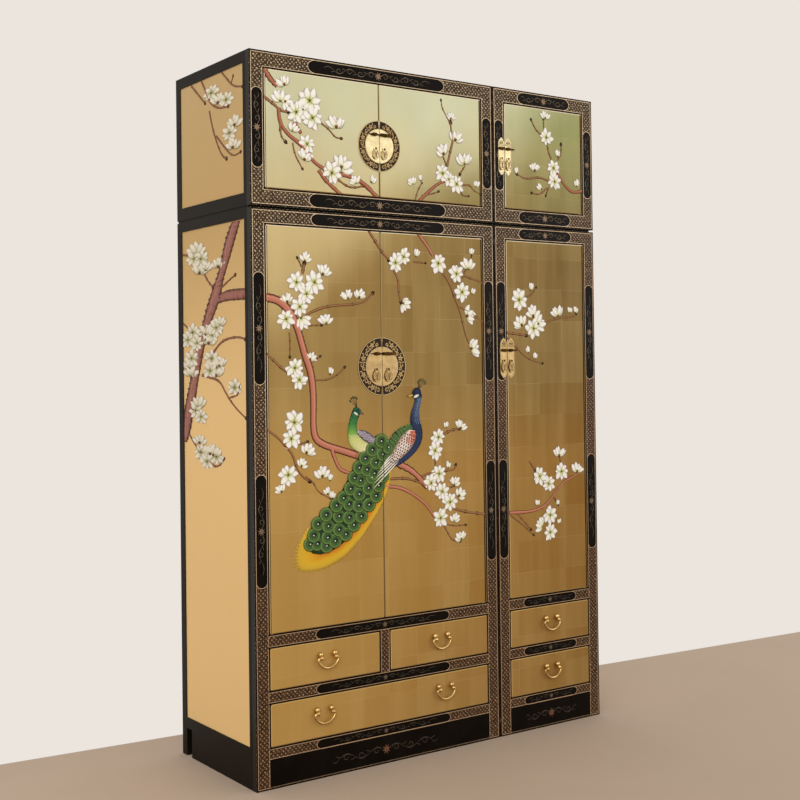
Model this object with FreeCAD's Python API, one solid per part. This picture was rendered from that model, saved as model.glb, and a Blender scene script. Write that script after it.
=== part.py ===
"""A lacquered East Asian wardrobe of four cabinets.

Two tall cabinets stand side by side on the floor, a wide one with a pair of doors, two small
drawers and a wide drawer, and a narrow one with a single door and two drawers. Two low
cabinets of the same widths stand on top of them on recessed strips.

Lengths are in millimetres. X runs to the viewer's right, Y from the front to the rear and
Z up. The origin is on the floor, under the middle of the whole wardrobe.
"""
import FreeCAD, Part
import math
import os
from collections import namedtuple

# Overall sizes
left_width = 1018
right_width = 503
unit_gap = 5
depth = 538
lower_height = 1886
upper_height = 506
spacer_height = 8

# Front frame: stiles stand, rails lie, and the doors and drawers fill the openings between
stile_width = 53
frame_depth = 24
plinth_height = 97
plinth_thickness = 20
bottom_rail_height = 37
wide_drawer_height = 141
middle_rail_height = 42
small_drawer_height = 139
drawer_rail_height = 44
centre_stile_width = 43
lower_top_rail_height = 52
upper_bottom_rail_height = 57
upper_top_rail_height = 56

# Side frames, with one panel in each
side_thickness = 22
side_front_stile = 20
rear_stile = 34
lower_side_bottom_rail = 38
lower_side_top_rail = 33
upper_side_bottom_rail = 43
upper_side_top_rail = 38
skirt_notch = 39
side_panel_inset = 3
side_panel_thickness = 12

# Boards inside
board_thickness = 18
back_thickness = 6
back_inset = 6
divider_thickness = 18
shelf_thickness = 18
shelf_front_gap = 30
shelf_count = 2

# Strips between the lower and the upper cabinets, and pads between the two units
spacer_inset = 20
spacer_side_inset = 3
spacer_width = 30
pad_radius = 12
pad_edge = 60
upper_pad_edge = 60

# Hanging rod
rod_radius = 12.5
rod_drop = 100
rod_fit = 0.3
socket_radius = 20
socket_length = 26
socket_floor = 6

# Doors
door_thickness = 22
door_gap = 2
pivot_radius = 4
pivot_length = 16
pivot_fit = 0.05
pivot_bore_spare = 2
pivot_flange_radius = 9
pivot_flange_thickness = 1.2

# Drawers
drawer_front_thickness = 20
drawer_gap = 2
drawer_side_thickness = 12
drawer_bottom_thickness = 6
drawer_bottom_lift = 8
drawer_box_depth = 440
drawer_box_drop = 22
drawer_guide_gap = 1
runner_height = 5
runner_width = 30
runner_gap = 0.3
guide_height = 30

# Drawer pulls: a bail hangs in two lugs, each under a ball that sits on the drawer front
post_spacing = 56
ball_radius = 10
ball_reach = 7
ball_lift = 11
lug_radius = 6.4
lug_length = 8
lug_neck_radius = 4.6
bail_reach = 13
bail_rod_radius = 4
bail_radius = 42
bail_corner_radius = 7
bail_depth = 35
bail_fit = 0.1
bail_end_spare = 0.8
pull_drop = 56.5
wide_pull_spacing = 508

# Latches: a pin slides in a guide on one plate and into a keeper on its neighbour
plate_thickness = 1.6
boss_thickness = 1.4
upper_roundel_radius = 88
lower_roundel_radius = 100
upper_boss_radius = 58
lower_boss_radius = 66
upper_roundel_rise = 178
lower_roundel_rise = 867
upper_latch_lift = 39
lower_latch_lift = 44
leaf_point = 22
leaf_bulge = 2.5
upper_leaf_width = 30
lower_leaf_width = 33
upper_leaf_length = 140
lower_leaf_length = 150
upper_leaf_rise = 263
lower_leaf_rise = 969
upper_leaf_pin_drop = 41
lower_leaf_pin_drop = 46
latch_pin_radius = 2.5
latch_fit = 0.3
staple_leg = 2.4
staple_bridge = 2.2
roundel_pin_length = 44
roundel_pin_setback = 2
roundel_guide_length = 16
roundel_guide_setback = 14
roundel_keeper_length = 47
roundel_keeper_setback = 3
leaf_pin_length = 41
leaf_pin_setback = 2
leaf_guide_length = 14
leaf_guide_setback = 8
leaf_keeper_length = 24
leaf_keeper_setback = 3

# Drops: small oval pendants that hang on studs in the roundels and the leaves
stud_radius = 3
stud_reach = 6.4
drop_axis_reach = 3.6
drop_pin_radius = 1.2
drop_fit = 0.2
drop_thickness = 2.4
drop_ear_width = 2.5
drop_ear_rise = 2.2
drop_notch_depth = 6
drop_notch_side = 0.5
drop_overlap = 2.5
drop_shoulder = 9
drop_fall = 9
upper_drop_offset = 18
lower_drop_offset = 25
upper_drop_width = 24
lower_drop_width = 31
upper_drop_length = 38
lower_drop_length = 44
leaf_drop_width = 25
leaf_drop_length = 45
upper_leaf_drop_fall = 77
lower_leaf_drop_fall = 84

# How far a cutting tool runs past the face that it cuts
overrun = 2

# Places worked out from the sizes above
pull_reach = bail_reach + lug_radius
front_face = (pull_reach - depth) / 2
left_edge = -(left_width + unit_gap + right_width) / 2
upper_floor = lower_height + spacer_height
wide_drawer_floor = plinth_height + bottom_rail_height
middle_rail_floor = wide_drawer_floor + wide_drawer_height
small_drawer_floor = middle_rail_floor + middle_rail_height
drawer_rail_floor = small_drawer_floor + small_drawer_height
lower_door_floor = drawer_rail_floor + drawer_rail_height
lower_door_top = lower_height - lower_top_rail_height
upper_door_floor = upper_floor + upper_bottom_rail_height
upper_door_top = upper_floor + upper_height - upper_top_rail_height
back_front = depth - back_inset - back_thickness

Cabinet = namedtuple("Cabinet", "name left right floor top door_floor door_top")
lower_left = Cabinet("lower_left", left_edge, left_edge + left_width, 0, lower_height,
                     lower_door_floor, lower_door_top)
lower_right = Cabinet("lower_right", lower_left.right + unit_gap,
                      lower_left.right + unit_gap + right_width, 0, lower_height,
                      lower_door_floor, lower_door_top)
upper_left = Cabinet("upper_left", lower_left.left, lower_left.right, upper_floor,
                     upper_floor + upper_height, upper_door_floor, upper_door_top)
upper_right = Cabinet("upper_right", lower_right.left, lower_right.right, upper_floor,
                      upper_floor + upper_height, upper_door_floor, upper_door_top)
lower_cabinets = (lower_left, lower_right)
upper_cabinets = (upper_left, upper_right)
cabinets = lower_cabinets + upper_cabinets

nodes = {}


def block(x, y, z):
    """A box between pairs of limits. The y pair is counted to the rear from the front face."""
    corner = FreeCAD.Vector(x[0], front_face + y[0], z[0])
    return Part.makeBox(x[1] - x[0], y[1] - y[0], z[1] - z[0], corner)


def rod_x(x, y, z, radius):
    """A round bar along X between the pair x, y behind the front face and at the height z."""
    start = FreeCAD.Vector(x[0], front_face + y, z)
    return Part.makeCylinder(radius, x[1] - x[0], start, FreeCAD.Vector(1, 0, 0))


def disc_y(x, y, z, radius):
    """A round disc with its axis along Y, between the pair y behind the front face."""
    start = FreeCAD.Vector(x, front_face + y[0], z)
    return Part.makeCylinder(radius, y[1] - y[0], start, FreeCAD.Vector(0, 1, 0))


def bar_z(x, y, z, radius):
    """A round bar along Z between the pair z, y behind the front face."""
    start = FreeCAD.Vector(x, front_face + y, z[0])
    return Part.makeCylinder(radius, z[1] - z[0], start, FreeCAD.Vector(0, 0, 1))


def add(name, solids):
    """Keeps the solids of one named piece."""
    nodes.setdefault(name, []).extend(solids)


def opening(cabinet):
    """The left and right limits between a cabinet's front stiles."""
    return cabinet.left + stile_width, cabinet.right - stile_width


def middle(cabinet):
    """The line down the middle of a cabinet's front."""
    return (cabinet.left + cabinet.right) / 2


def inside(cabinet):
    """The left and right limits between a cabinet's side frames."""
    return cabinet.left + side_thickness, cabinet.right - side_thickness


def face_frame(cabinet):
    """Two stiles over the full height, and the rails between them."""
    face = (0, frame_depth)
    height = (cabinet.floor, cabinet.top)
    span = opening(cabinet)
    solids = [block((cabinet.left, span[0]), face, height), block((span[1], cabinet.right), face, height)]
    rails = [(cabinet.door_top, cabinet.top)]
    if cabinet in lower_cabinets:
        rails.append((plinth_height, wide_drawer_floor))
        rails.append((middle_rail_floor, small_drawer_floor))
        rails.append((drawer_rail_floor, lower_door_floor))
        solids.append(block(span, (0, plinth_thickness), (0, plinth_height)))
    else:
        rails.append((cabinet.floor, cabinet.door_floor))
    solids += [block(span, face, rail) for rail in rails]
    if cabinet is lower_left:
        centre = (middle(cabinet) - centre_stile_width / 2, middle(cabinet) + centre_stile_width / 2)
        solids.append(block(centre, face, (small_drawer_floor, drawer_rail_floor)))
    return solids


def side_frame(cabinet, x):
    """The stiles and rails of one side frame, in the plane between the pair x."""
    front = (frame_depth, frame_depth + side_front_stile)
    rear = (depth - rear_stile, depth)
    between = (front[1], rear[0])
    height = (cabinet.floor, cabinet.top)
    solids = [block(x, front, height), block(x, rear, height)]
    low, high = side_panel_limits(cabinet)
    solids.append(block(x, between, (high, cabinet.top)))
    if cabinet in lower_cabinets:
        solids.append(block(x, between, (plinth_height, low)))
        solids.append(block(x, (between[0], between[1] - skirt_notch), (0, plinth_height)))
    else:
        solids.append(block(x, between, (cabinet.floor, low)))
    return solids


def side_panel_limits(cabinet):
    """The bottom and top of a cabinet's side panels."""
    if cabinet in lower_cabinets:
        return plinth_height + lower_side_bottom_rail, cabinet.top - lower_side_top_rail
    return cabinet.floor + upper_side_bottom_rail, cabinet.top - upper_side_top_rail


def side_panels(cabinet):
    """One panel in each side frame, set in a little from the frame's outer face."""
    between = (frame_depth + side_front_stile, depth - rear_stile)
    outer = side_panel_inset
    inner = side_panel_inset + side_panel_thickness
    left = (cabinet.left + outer, cabinet.left + inner)
    right = (cabinet.right - inner, cabinet.right - outer)
    return [block(x, between, side_panel_limits(cabinet)) for x in (left, right)]


def boards(cabinet):
    """The lying boards from side to side, and the divider between the two small drawers."""
    span = inside(cabinet)
    run = (frame_depth, back_front)
    tops = [cabinet.top, cabinet.door_floor]
    if cabinet in lower_cabinets:
        tops += [wide_drawer_floor, small_drawer_floor]
    solids = [block(span, run, (top - board_thickness, top)) for top in tops]
    if cabinet is lower_left:
        half = divider_thickness / 2
        wall = (middle(cabinet) - half, middle(cabinet) + half)
        solids.append(block(wall, run, (small_drawer_floor, lower_door_floor - board_thickness)))
    return solids


def back_board(cabinet):
    """The thin board that closes the rear, from the lowest board to the top."""
    low = wide_drawer_floor - board_thickness if cabinet in lower_cabinets else cabinet.floor
    return block(inside(cabinet), (back_front, back_front + back_thickness), (low, cabinet.top))


def shelves(cabinet):
    """Shelves that divide the space behind a tall door into equal parts."""
    low = cabinet.door_floor
    pitch = (cabinet.top - board_thickness - low) / (shelf_count + 1)
    run = (frame_depth + shelf_front_gap, back_front)
    heights = [low + pitch * (i + 1) for i in range(shelf_count)]
    return [block(inside(cabinet), run, (z - shelf_thickness / 2, z + shelf_thickness / 2)) for z in heights]


def spacer_strips(cabinet):
    """Four strips under an upper cabinet, set back so that a shadow line shows."""
    x = (cabinet.left + spacer_side_inset, cabinet.right - spacer_side_inset)
    y = (spacer_inset, depth - spacer_side_inset)
    z = (lower_height, upper_floor)
    front = (y[0], y[0] + spacer_width)
    rear = (y[1] - spacer_width, y[1])
    sides = (front[1], rear[0])
    return [block(x, front, z), block(x, rear, z), block((x[0], x[0] + spacer_width), sides, z),
            block((x[1] - spacer_width, x[1]), sides, z)]


def side_pads():
    """Felt pads that keep the two units a little apart, on the stiles of their side frames."""
    x = (lower_left.right, lower_right.left)
    solids = []
    for cabinet, edge in ((lower_left, pad_edge), (upper_left, upper_pad_edge)):
        for z in (cabinet.floor + edge, cabinet.top - edge):
            for y in (pad_radius, depth - pad_radius):
                solids.append(rod_x(x, y, z, pad_radius))
    return solids


def hanging_rod(cabinet):
    """A round rod from side to side, and the cups that hold its ends."""
    left = cabinet.left + side_panel_inset + side_panel_thickness
    right = cabinet.right - side_panel_inset - side_panel_thickness
    y = (frame_depth + back_front) / 2
    z = cabinet.top - rod_drop
    rod = rod_x((left + socket_floor, right - socket_floor), y, z, rod_radius)
    cups = []
    for start, way in ((left, 1), (right, -1)):
        outer = sorted((start, start + way * socket_length))
        hollow = sorted((start + way * socket_floor, start + way * (socket_length + overrun)))
        cup = rod_x(outer, y, z, socket_radius)
        cups.append(cup.cut(rod_x(hollow, y, z, rod_radius + rod_fit)))
    return rod, cups


def door_limits(cabinet, side):
    """The left and right limits of a door, whose hinges are on the given side."""
    low, high = opening(cabinet)
    if cabinet in (lower_left, upper_left):
        if side == "left":
            return low + door_gap, middle(cabinet) - door_gap / 2
        return middle(cabinet) + door_gap / 2, high - door_gap
    return low + door_gap, high - door_gap


def pivot_place(cabinet, side):
    """The x of a door's pivot line, half the door's thickness in from its hinge edge."""
    low, high = door_limits(cabinet, side)
    half = door_thickness / 2
    return low + half if side == "left" else high - half


def door(cabinet, side):
    """A plain board. Its hinge edge is rounded about the pivot line, with a bore at each end."""
    low, high = door_limits(cabinet, side)
    pivot = pivot_place(cabinet, side)
    free, reach = (high, -1) if side == "left" else (low, 1)
    front, rear = front_face, front_face + door_thickness
    half = door_thickness / 2
    z = cabinet.door_floor + door_gap
    height = cabinet.door_top - door_gap - z
    a = FreeCAD.Vector(pivot, front, z)
    b = FreeCAD.Vector(free, front, z)
    c = FreeCAD.Vector(free, rear, z)
    d = FreeCAD.Vector(pivot, rear, z)
    edge = FreeCAD.Vector(pivot + reach * half, front + half, z)
    outline = Part.Wire([Part.LineSegment(a, b).toShape(), Part.LineSegment(b, c).toShape(),
                         Part.LineSegment(c, d).toShape(), Part.Arc(d, edge, a).toShape()])
    board = Part.Face(outline).extrude(FreeCAD.Vector(0, 0, height))
    deep = pivot_length + pivot_flange_thickness - door_gap + pivot_bore_spare
    bore = pivot_radius + pivot_fit
    lower_bore = bar_z(pivot, half, (z - overrun, z + deep), bore)
    upper_bore = bar_z(pivot, half, (z + height - deep, z + height + overrun), bore)
    return board.cut(lower_bore).cut(upper_bore)


def door_pivots(cabinet, side):
    """Two pivot pins with flanges, one on the rail under a door and one on the rail over it."""
    x = pivot_place(cabinet, side)
    y = door_thickness / 2
    solids = []
    for rail, way in ((cabinet.door_floor, 1), (cabinet.door_top, -1)):
        face = rail + way * pivot_flange_thickness
        flange = bar_z(x, y, sorted((rail, face)), pivot_flange_radius)
        pin = bar_z(x, y, sorted((face, face + way * pivot_length)), pivot_radius)
        solids.append(flange.fuse(pin).removeSplitter())
    return solids


Drawer = namedtuple("Drawer", "name left right floor top pulls")


def drawer_list():
    """Every drawer, with the limits of its opening and the x of each of its pulls."""
    low, high = opening(lower_left)
    centre = middle(lower_left)
    half = centre_stile_width / 2
    small = (small_drawer_floor, drawer_rail_floor)
    wide = (wide_drawer_floor, middle_rail_floor)
    apart = wide_pull_spacing / 2
    narrow = opening(lower_right)
    return [
        Drawer("small_left_drawer", low, centre - half, *small, [(low + centre - half) / 2]),
        Drawer("small_right_drawer", centre + half, high, *small, [(centre + half + high) / 2]),
        Drawer("wide_drawer", low, high, *wide, [centre - apart, centre + apart]),
        Drawer("right_upper_drawer", *narrow, *small, [middle(lower_right)]),
        Drawer("right_lower_drawer", *narrow, *wide, [middle(lower_right)]),
    ]


def drawer_front(drawer):
    """The show board of a drawer, flush with the frame."""
    x = (drawer.left + drawer_gap, drawer.right - drawer_gap)
    z = (drawer.floor + drawer_gap, drawer.top - drawer_gap)
    return block(x, (0, drawer_front_thickness), z)


def drawer_box(drawer):
    """Two sides, a back and a bottom, on top of the runners."""
    x = (drawer.left + drawer_gap, drawer.right - drawer_gap)
    z = (drawer.floor + runner_height + runner_gap, drawer.top - drawer_box_drop)
    y = (drawer_front_thickness, drawer_front_thickness + drawer_box_depth)
    inner = (x[0] + drawer_side_thickness, x[1] - drawer_side_thickness)
    back = (y[1] - drawer_side_thickness, y[1])
    bottom = (z[0] + drawer_bottom_lift, z[0] + drawer_bottom_lift + drawer_bottom_thickness)
    return [block((x[0], inner[0]), y, z), block((inner[1], x[1]), y, z), block(inner, back, z),
            block(inner, (y[0], back[0]), bottom)]


def drawer_runners(drawer):
    """Strips that a drawer's sides slide on, and the guides beside them."""
    run = (frame_depth, back_front)
    flat = (drawer.floor, drawer.floor + runner_height)
    upright = (flat[1], flat[1] + guide_height)
    left_wall, right_wall = guide_walls(drawer)
    left_side = drawer.left + drawer_gap
    right_side = drawer.right - drawer_gap
    return [
        block((left_wall, left_side + runner_width), run, flat),
        block((right_side - runner_width, right_wall), run, flat),
        block((left_wall, left_side - drawer_guide_gap), run, upright),
        block((right_side + drawer_guide_gap, right_wall), run, upright),
    ]


def guide_walls(drawer):
    """The faces to the left and right of a drawer that its guides are fixed to."""
    cabinet = lower_right if drawer.left > lower_left.right else lower_left
    left_wall, right_wall = inside(cabinet)
    half = divider_thickness / 2
    if drawer.right < middle(cabinet):
        right_wall = middle(cabinet) - half
    if drawer.left > middle(cabinet):
        left_wall = middle(cabinet) + half
    return left_wall, right_wall


def pull_height(drawer):
    """The height of a drawer's bail pivots, a set drop below the top of its opening."""
    return drawer.top - pull_drop


def pull_posts(x, z):
    """Two balls on a drawer front, each with a lug under it and a cross bore in the lug for the bail."""
    solids = []
    for way in (-1, 1):
        place = x + way * post_spacing / 2
        centre = FreeCAD.Vector(place, front_face - ball_reach, z + ball_lift)
        eye = FreeCAD.Vector(place, front_face - bail_reach, z)
        outside = block((place - ball_radius, place + ball_radius), (-ball_reach - ball_radius, 0),
                        (z + ball_lift - ball_radius, z + ball_lift + ball_radius))
        ball = Part.makeSphere(ball_radius, centre).common(outside)
        half = lug_length / 2
        lug = rod_x((place - half, place + half), -bail_reach, z, lug_radius)
        neck = Part.makeCylinder(lug_neck_radius, centre.distanceToPoint(eye), eye, centre.sub(eye))
        side = half + overrun
        bore = rod_x((place - side, place + side), -bail_reach, z, bail_rod_radius + bail_fit)
        solids.append(ball.fuse(lug).fuse(neck).cut(bore))
    return solids


def bail(x, z):
    """A round rod that goes through both lugs, turns down and hangs in a wide flat arc."""
    y = front_face - bail_reach
    inner = post_spacing / 2 - lug_length / 2 - bail_end_spare
    bend = bail_corner_radius
    rise = bail_radius - bail_depth
    apart = bail_radius - bend
    corner = math.sqrt(apart ** 2 - (rise + bend) ** 2)
    outward = corner / apart
    downward = (rise + bend) / apart
    touch = (corner + bend * outward, -bend - bend * downward)
    length = math.hypot(outward, 1 - downward)
    turn = (corner + bend * outward / length, -bend + bend * (1 - downward) / length)

    def point(dx, dz):
        return FreeCAD.Vector(x + dx, y, z + dz)

    path = [
        Part.LineSegment(point(-inner, 0), point(-corner, 0)),
        Part.Arc(point(-corner, 0), point(-turn[0], turn[1]), point(-touch[0], touch[1])),
        Part.Arc(point(-touch[0], touch[1]), point(0, -bail_depth), point(touch[0], touch[1])),
        Part.Arc(point(touch[0], touch[1]), point(turn[0], turn[1]), point(corner, 0)),
        Part.LineSegment(point(corner, 0), point(inner, 0)),
    ]
    wire = Part.Wire([piece.toShape() for piece in path])
    section = Part.Circle(point(-inner, 0), FreeCAD.Vector(1, 0, 0), bail_rod_radius).toShape()
    return wire.makePipeShell([Part.Wire([section])], True, True)


def staple(x, z, base):
    """A square eye for a latch pin: two legs and a bridge, standing on a face base in front."""
    room = latch_pin_radius + latch_fit
    outer = room + staple_leg
    root = -base
    mouth = root - 2 * room
    return [
        block(x, (mouth, root), (z + room, z + outer)),
        block(x, (mouth, root), (z - outer, z - room)),
        block(x, (mouth - staple_bridge, mouth), (z - outer, z + outer)),
    ]


def latch_pin(x, z, base):
    """The round pin that slides in the staples."""
    return rod_x(x, -(base + latch_pin_radius + latch_fit), z, latch_pin_radius)


def half_disc(x, edge, way, y, z, radius):
    """The part of a disc about x that lies beyond the upright edge on one side."""
    disc = disc_y(x, y, z, radius)
    keep = sorted((edge, edge + way * radius))
    return disc.common(block(keep, y, (z - radius, z + radius)))


def stud(x, z, base):
    """A short round stud on a face base in front, with a cross bore for the pin of a drop."""
    body = disc_y(x, (-base - stud_reach, -base), z, stud_radius)
    side = stud_radius + overrun
    bore = rod_x((x - side, x + side), -base - drop_axis_reach, z, drop_pin_radius + drop_fit)
    return body.cut(bore)


def drop(x, z, base, width, length):
    """A flat oval pendant with two ears beside its stud, and the pin that joins the ears."""
    axis = base + drop_axis_reach
    face = (-axis - drop_thickness / 2, -axis + drop_thickness / 2)
    notch_half = stud_radius + drop_notch_side
    ear_half = notch_half + drop_ear_width
    oval_half = (length - drop_notch_depth + drop_overlap) / 2
    centre = FreeCAD.Vector(x, front_face + face[0], z - length + oval_half)
    oval_top = centre + FreeCAD.Vector(0, 0, oval_half)
    oval_side = centre + FreeCAD.Vector(width / 2, 0, 0)
    oval = Part.Ellipse(oval_top, oval_side, centre)
    plate = Part.Face(Part.Wire([oval.toShape()])).extrude(FreeCAD.Vector(0, drop_thickness, 0))
    ears = block((x - ear_half, x + ear_half), face, (z - drop_shoulder, z + drop_ear_rise))
    notch_height = (z - drop_notch_depth, z + drop_ear_rise + overrun)
    notch = block((x - notch_half, x + notch_half), (face[0] - overrun, face[1] + overrun), notch_height)
    pin = rod_x((x - ear_half, x + ear_half), -axis, z, drop_pin_radius)
    return plate.fuse(ears).cut(notch).fuse(pin)


def roundel(cabinet, rise, radius, boss_radius, lift, drop_offset, drop_width, drop_length):
    """A round plate split at the seam of a pair of doors, with its pin, guide, keeper and drops."""
    centre = middle(cabinet)
    z = cabinet.door_floor + rise
    base = plate_thickness + boss_thickness
    pin_z = z + lift
    stud_z = z - drop_fall
    halves = []
    drops = []
    for way in (-1, 1):
        edge = centre + way * door_gap / 2
        plate = half_disc(centre, edge, way, (-plate_thickness, 0), z, radius)
        boss = half_disc(centre, edge, way, (-base, -plate_thickness), z, boss_radius)
        stud_x = centre + way * drop_offset
        halves.append([plate, boss, stud(stud_x, stud_z, base)])
        drops.append(drop(stud_x, stud_z, base, drop_width, drop_length))
    guide_end = centre - roundel_guide_setback
    halves[0] += staple((guide_end - roundel_guide_length, guide_end), pin_z, base)
    keeper_start = centre + roundel_keeper_setback
    halves[1] += staple((keeper_start, keeper_start + roundel_keeper_length), pin_z, base)
    pin_end = centre - roundel_pin_setback
    pin = latch_pin((pin_end - roundel_pin_length, pin_end), pin_z, base)
    return halves, drops, pin


def leaf_plate(x, top, length):
    """An upright plate between the pair x, with a bowed point at the top and at the bottom."""
    low = top - length
    centre = (x[0] + x[1]) / 2
    slope = math.hypot(centre - x[0], leaf_point)
    aside = leaf_bulge * leaf_point / slope
    beyond = leaf_bulge * (centre - x[0]) / slope

    def corner(px, pz):
        return FreeCAD.Vector(px, front_face - plate_thickness, pz)

    def bow(px, pz, way_x, way_z):
        middle_x = (px + centre) / 2 + way_x * aside
        middle_z = pz + way_z * (leaf_point / 2 + beyond)
        return corner(middle_x, middle_z)

    shoulder_low = low + leaf_point
    shoulder_top = top - leaf_point
    edges = [
        Part.LineSegment(corner(x[0], shoulder_low), corner(x[0], shoulder_top)),
        Part.Arc(corner(x[0], shoulder_top), bow(x[0], shoulder_top, -1, 1), corner(centre, top)),
        Part.Arc(corner(centre, top), bow(x[1], shoulder_top, 1, 1), corner(x[1], shoulder_top)),
        Part.LineSegment(corner(x[1], shoulder_top), corner(x[1], shoulder_low)),
        Part.Arc(corner(x[1], shoulder_low), bow(x[1], shoulder_low, 1, -1), corner(centre, low)),
        Part.Arc(corner(centre, low), bow(x[0], shoulder_low, -1, -1), corner(x[0], shoulder_low)),
    ]
    outline = Part.Wire([edge.toShape() for edge in edges])
    return Part.Face(outline).extrude(FreeCAD.Vector(0, plate_thickness, 0))


def leaf_latch(cabinet, rise, width, length, pin_drop, stud_fall):
    """Two plates at the free edge of a single door, one on the door and one on the stile."""
    top = cabinet.door_floor + rise
    edge = opening(cabinet)[0]
    seam = edge + door_gap
    z = top - pin_drop
    stud_z = top - stud_fall
    base = plate_thickness
    door_leaf = [leaf_plate((seam, seam + width), top, length)]
    guide_start = seam + leaf_guide_setback
    door_leaf += staple((guide_start, guide_start + leaf_guide_length), z, base)
    stile_leaf = [leaf_plate((edge - width, edge), top, length)]
    keeper_end = edge - leaf_keeper_setback
    stile_leaf += staple((keeper_end - leaf_keeper_length, keeper_end), z, base)
    places = (seam + width / 2, edge - width / 2)
    door_leaf.append(stud(places[0], stud_z, base))
    stile_leaf.append(stud(places[1], stud_z, base))
    drops = [drop(place, stud_z, base, leaf_drop_width, leaf_drop_length) for place in places]
    pin_start = seam + leaf_pin_setback
    pin = latch_pin((pin_start, pin_start + leaf_pin_length), z, base)
    return door_leaf, stile_leaf, drops, pin


def build_carcasses():
    """Everything that stays put."""
    for cabinet in cabinets:
        left = (cabinet.left, cabinet.left + side_thickness)
        right = (cabinet.right - side_thickness, cabinet.right)
        add(cabinet.name + "_face_frame", face_frame(cabinet))
        add(cabinet.name + "_side_frames", side_frame(cabinet, left) + side_frame(cabinet, right))
        add(cabinet.name + "_boards", boards(cabinet))
        add("side_panels", side_panels(cabinet))
        add("back_boards", [back_board(cabinet)])
    for cabinet in upper_cabinets:
        add("spacer_strips", spacer_strips(cabinet))
    add("side_pads", side_pads())
    add("shelves", shelves(lower_right))
    rod, cups = hanging_rod(lower_left)
    add("hanging_rod", [rod])
    add("rod_sockets", cups)


def build_doors():
    """Six doors and the pivots that they turn on."""
    for cabinet in (upper_left, lower_left):
        for side in ("left", "right"):
            add(cabinet.name.split("_")[0] + "_" + side + "_door", [door(cabinet, side)])
            add("door_pivots", door_pivots(cabinet, side))
    for cabinet in (upper_right, lower_right):
        add(cabinet.name.split("_")[0] + "_single_door", [door(cabinet, "right")])
        add("door_pivots", door_pivots(cabinet, "right"))


def build_drawers():
    """Five drawers, their runners, posts and bails."""
    for drawer in drawer_list():
        add(drawer.name + "_front", [drawer_front(drawer)])
        add(drawer.name + "_box", drawer_box(drawer))
        add("drawer_runners", drawer_runners(drawer))
        z = pull_height(drawer)
        for number, x in enumerate(drawer.pulls):
            add(drawer.name + "_posts", pull_posts(x, z))
            suffix = "_bail" if len(drawer.pulls) == 1 else ("_left_bail", "_right_bail")[number]
            add(drawer.name + suffix, [bail(x, z)])


def build_latches():
    """Two split roundels on the pairs of doors and two pairs of leaves beside the single doors."""
    rounds = [
        ("upper", upper_left, upper_roundel_rise, upper_roundel_radius, upper_boss_radius, upper_latch_lift,
         upper_drop_offset, upper_drop_width, upper_drop_length),
        ("lower", lower_left, lower_roundel_rise, lower_roundel_radius, lower_boss_radius, lower_latch_lift,
         lower_drop_offset, lower_drop_width, lower_drop_length),
    ]
    for name, *sizes in rounds:
        halves, drops, pin = roundel(*sizes)
        add(name + "_roundel_left", halves[0])
        add(name + "_roundel_right", halves[1])
        add(name + "_left_drop", [drops[0]])
        add(name + "_right_drop", [drops[1]])
        add(name + "_roundel_pin", [pin])
    leaves = [
        ("upper", upper_right, upper_leaf_rise, upper_leaf_width, upper_leaf_length, upper_leaf_pin_drop,
         upper_leaf_drop_fall),
        ("lower", lower_right, lower_leaf_rise, lower_leaf_width, lower_leaf_length, lower_leaf_pin_drop,
         lower_leaf_drop_fall),
    ]
    for name, *sizes in leaves:
        door_leaf, stile_leaf, drops, pin = leaf_latch(*sizes)
        add(name + "_door_leaf", door_leaf)
        add("stile_leaves", stile_leaf)
        add(name + "_door_leaf_drop", [drops[0]])
        add(name + "_stile_leaf_drop", [drops[1]])
        add(name + "_leaf_pin", [pin])


build_carcasses()
build_doors()
build_drawers()
build_latches()

os.makedirs("parts", exist_ok=True)
for name, solids in sorted(nodes.items()):
    shape = solids[0] if len(solids) == 1 else Part.makeCompound(solids)
    shape.exportStep("parts/" + name + ".step")
    state = "valid" if shape.isValid() else "NOT VALID"
    print(name, len(solids), "solids", round(shape.Volume), "mm3", state)
print(len(nodes), "pieces")
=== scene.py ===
# %% [markdown]
# # A lacquered and gilded wardrobe
#
# The real wardrobe is four boxes of board and solid wood. Its front frames are lacquered black and
# covered with a fine painted diaper, its doors and sides are laid with squares of gold leaf, and a
# painter has worked over the gold with blossom and birds in low relief.
#
# The construction comes in ready made, as a fixed frame of named pieces. This file adds what the eye
# reads as finish: materials, gilt lines, black cartouches, brass details and the painting. Every added
# piece is a surface computed as whole arrays, so that its shape is a formula one can read and change.

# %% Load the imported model
import math

import bmesh
import bpy
import numpy as np
from mathutils import Matrix, Vector


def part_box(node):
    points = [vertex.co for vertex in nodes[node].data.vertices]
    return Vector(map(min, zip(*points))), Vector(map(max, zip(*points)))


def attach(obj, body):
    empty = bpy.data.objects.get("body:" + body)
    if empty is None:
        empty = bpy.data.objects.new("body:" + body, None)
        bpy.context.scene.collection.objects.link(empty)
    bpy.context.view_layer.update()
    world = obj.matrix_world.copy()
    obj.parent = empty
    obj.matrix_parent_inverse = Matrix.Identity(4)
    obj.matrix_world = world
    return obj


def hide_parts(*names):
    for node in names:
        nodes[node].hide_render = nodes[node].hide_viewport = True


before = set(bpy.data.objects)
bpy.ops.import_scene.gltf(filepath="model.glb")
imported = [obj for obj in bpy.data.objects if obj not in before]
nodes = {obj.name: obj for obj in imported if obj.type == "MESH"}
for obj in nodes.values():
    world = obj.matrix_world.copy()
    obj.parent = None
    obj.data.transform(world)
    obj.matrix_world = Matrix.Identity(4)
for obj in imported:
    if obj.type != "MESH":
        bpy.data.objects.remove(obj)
scene = bpy.context.scene
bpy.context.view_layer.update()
left_edge, front, floor_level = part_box("lower_left_face_frame")[0]
print("pieces loaded:", len(nodes), "front plane at", round(front, 4))

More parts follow.
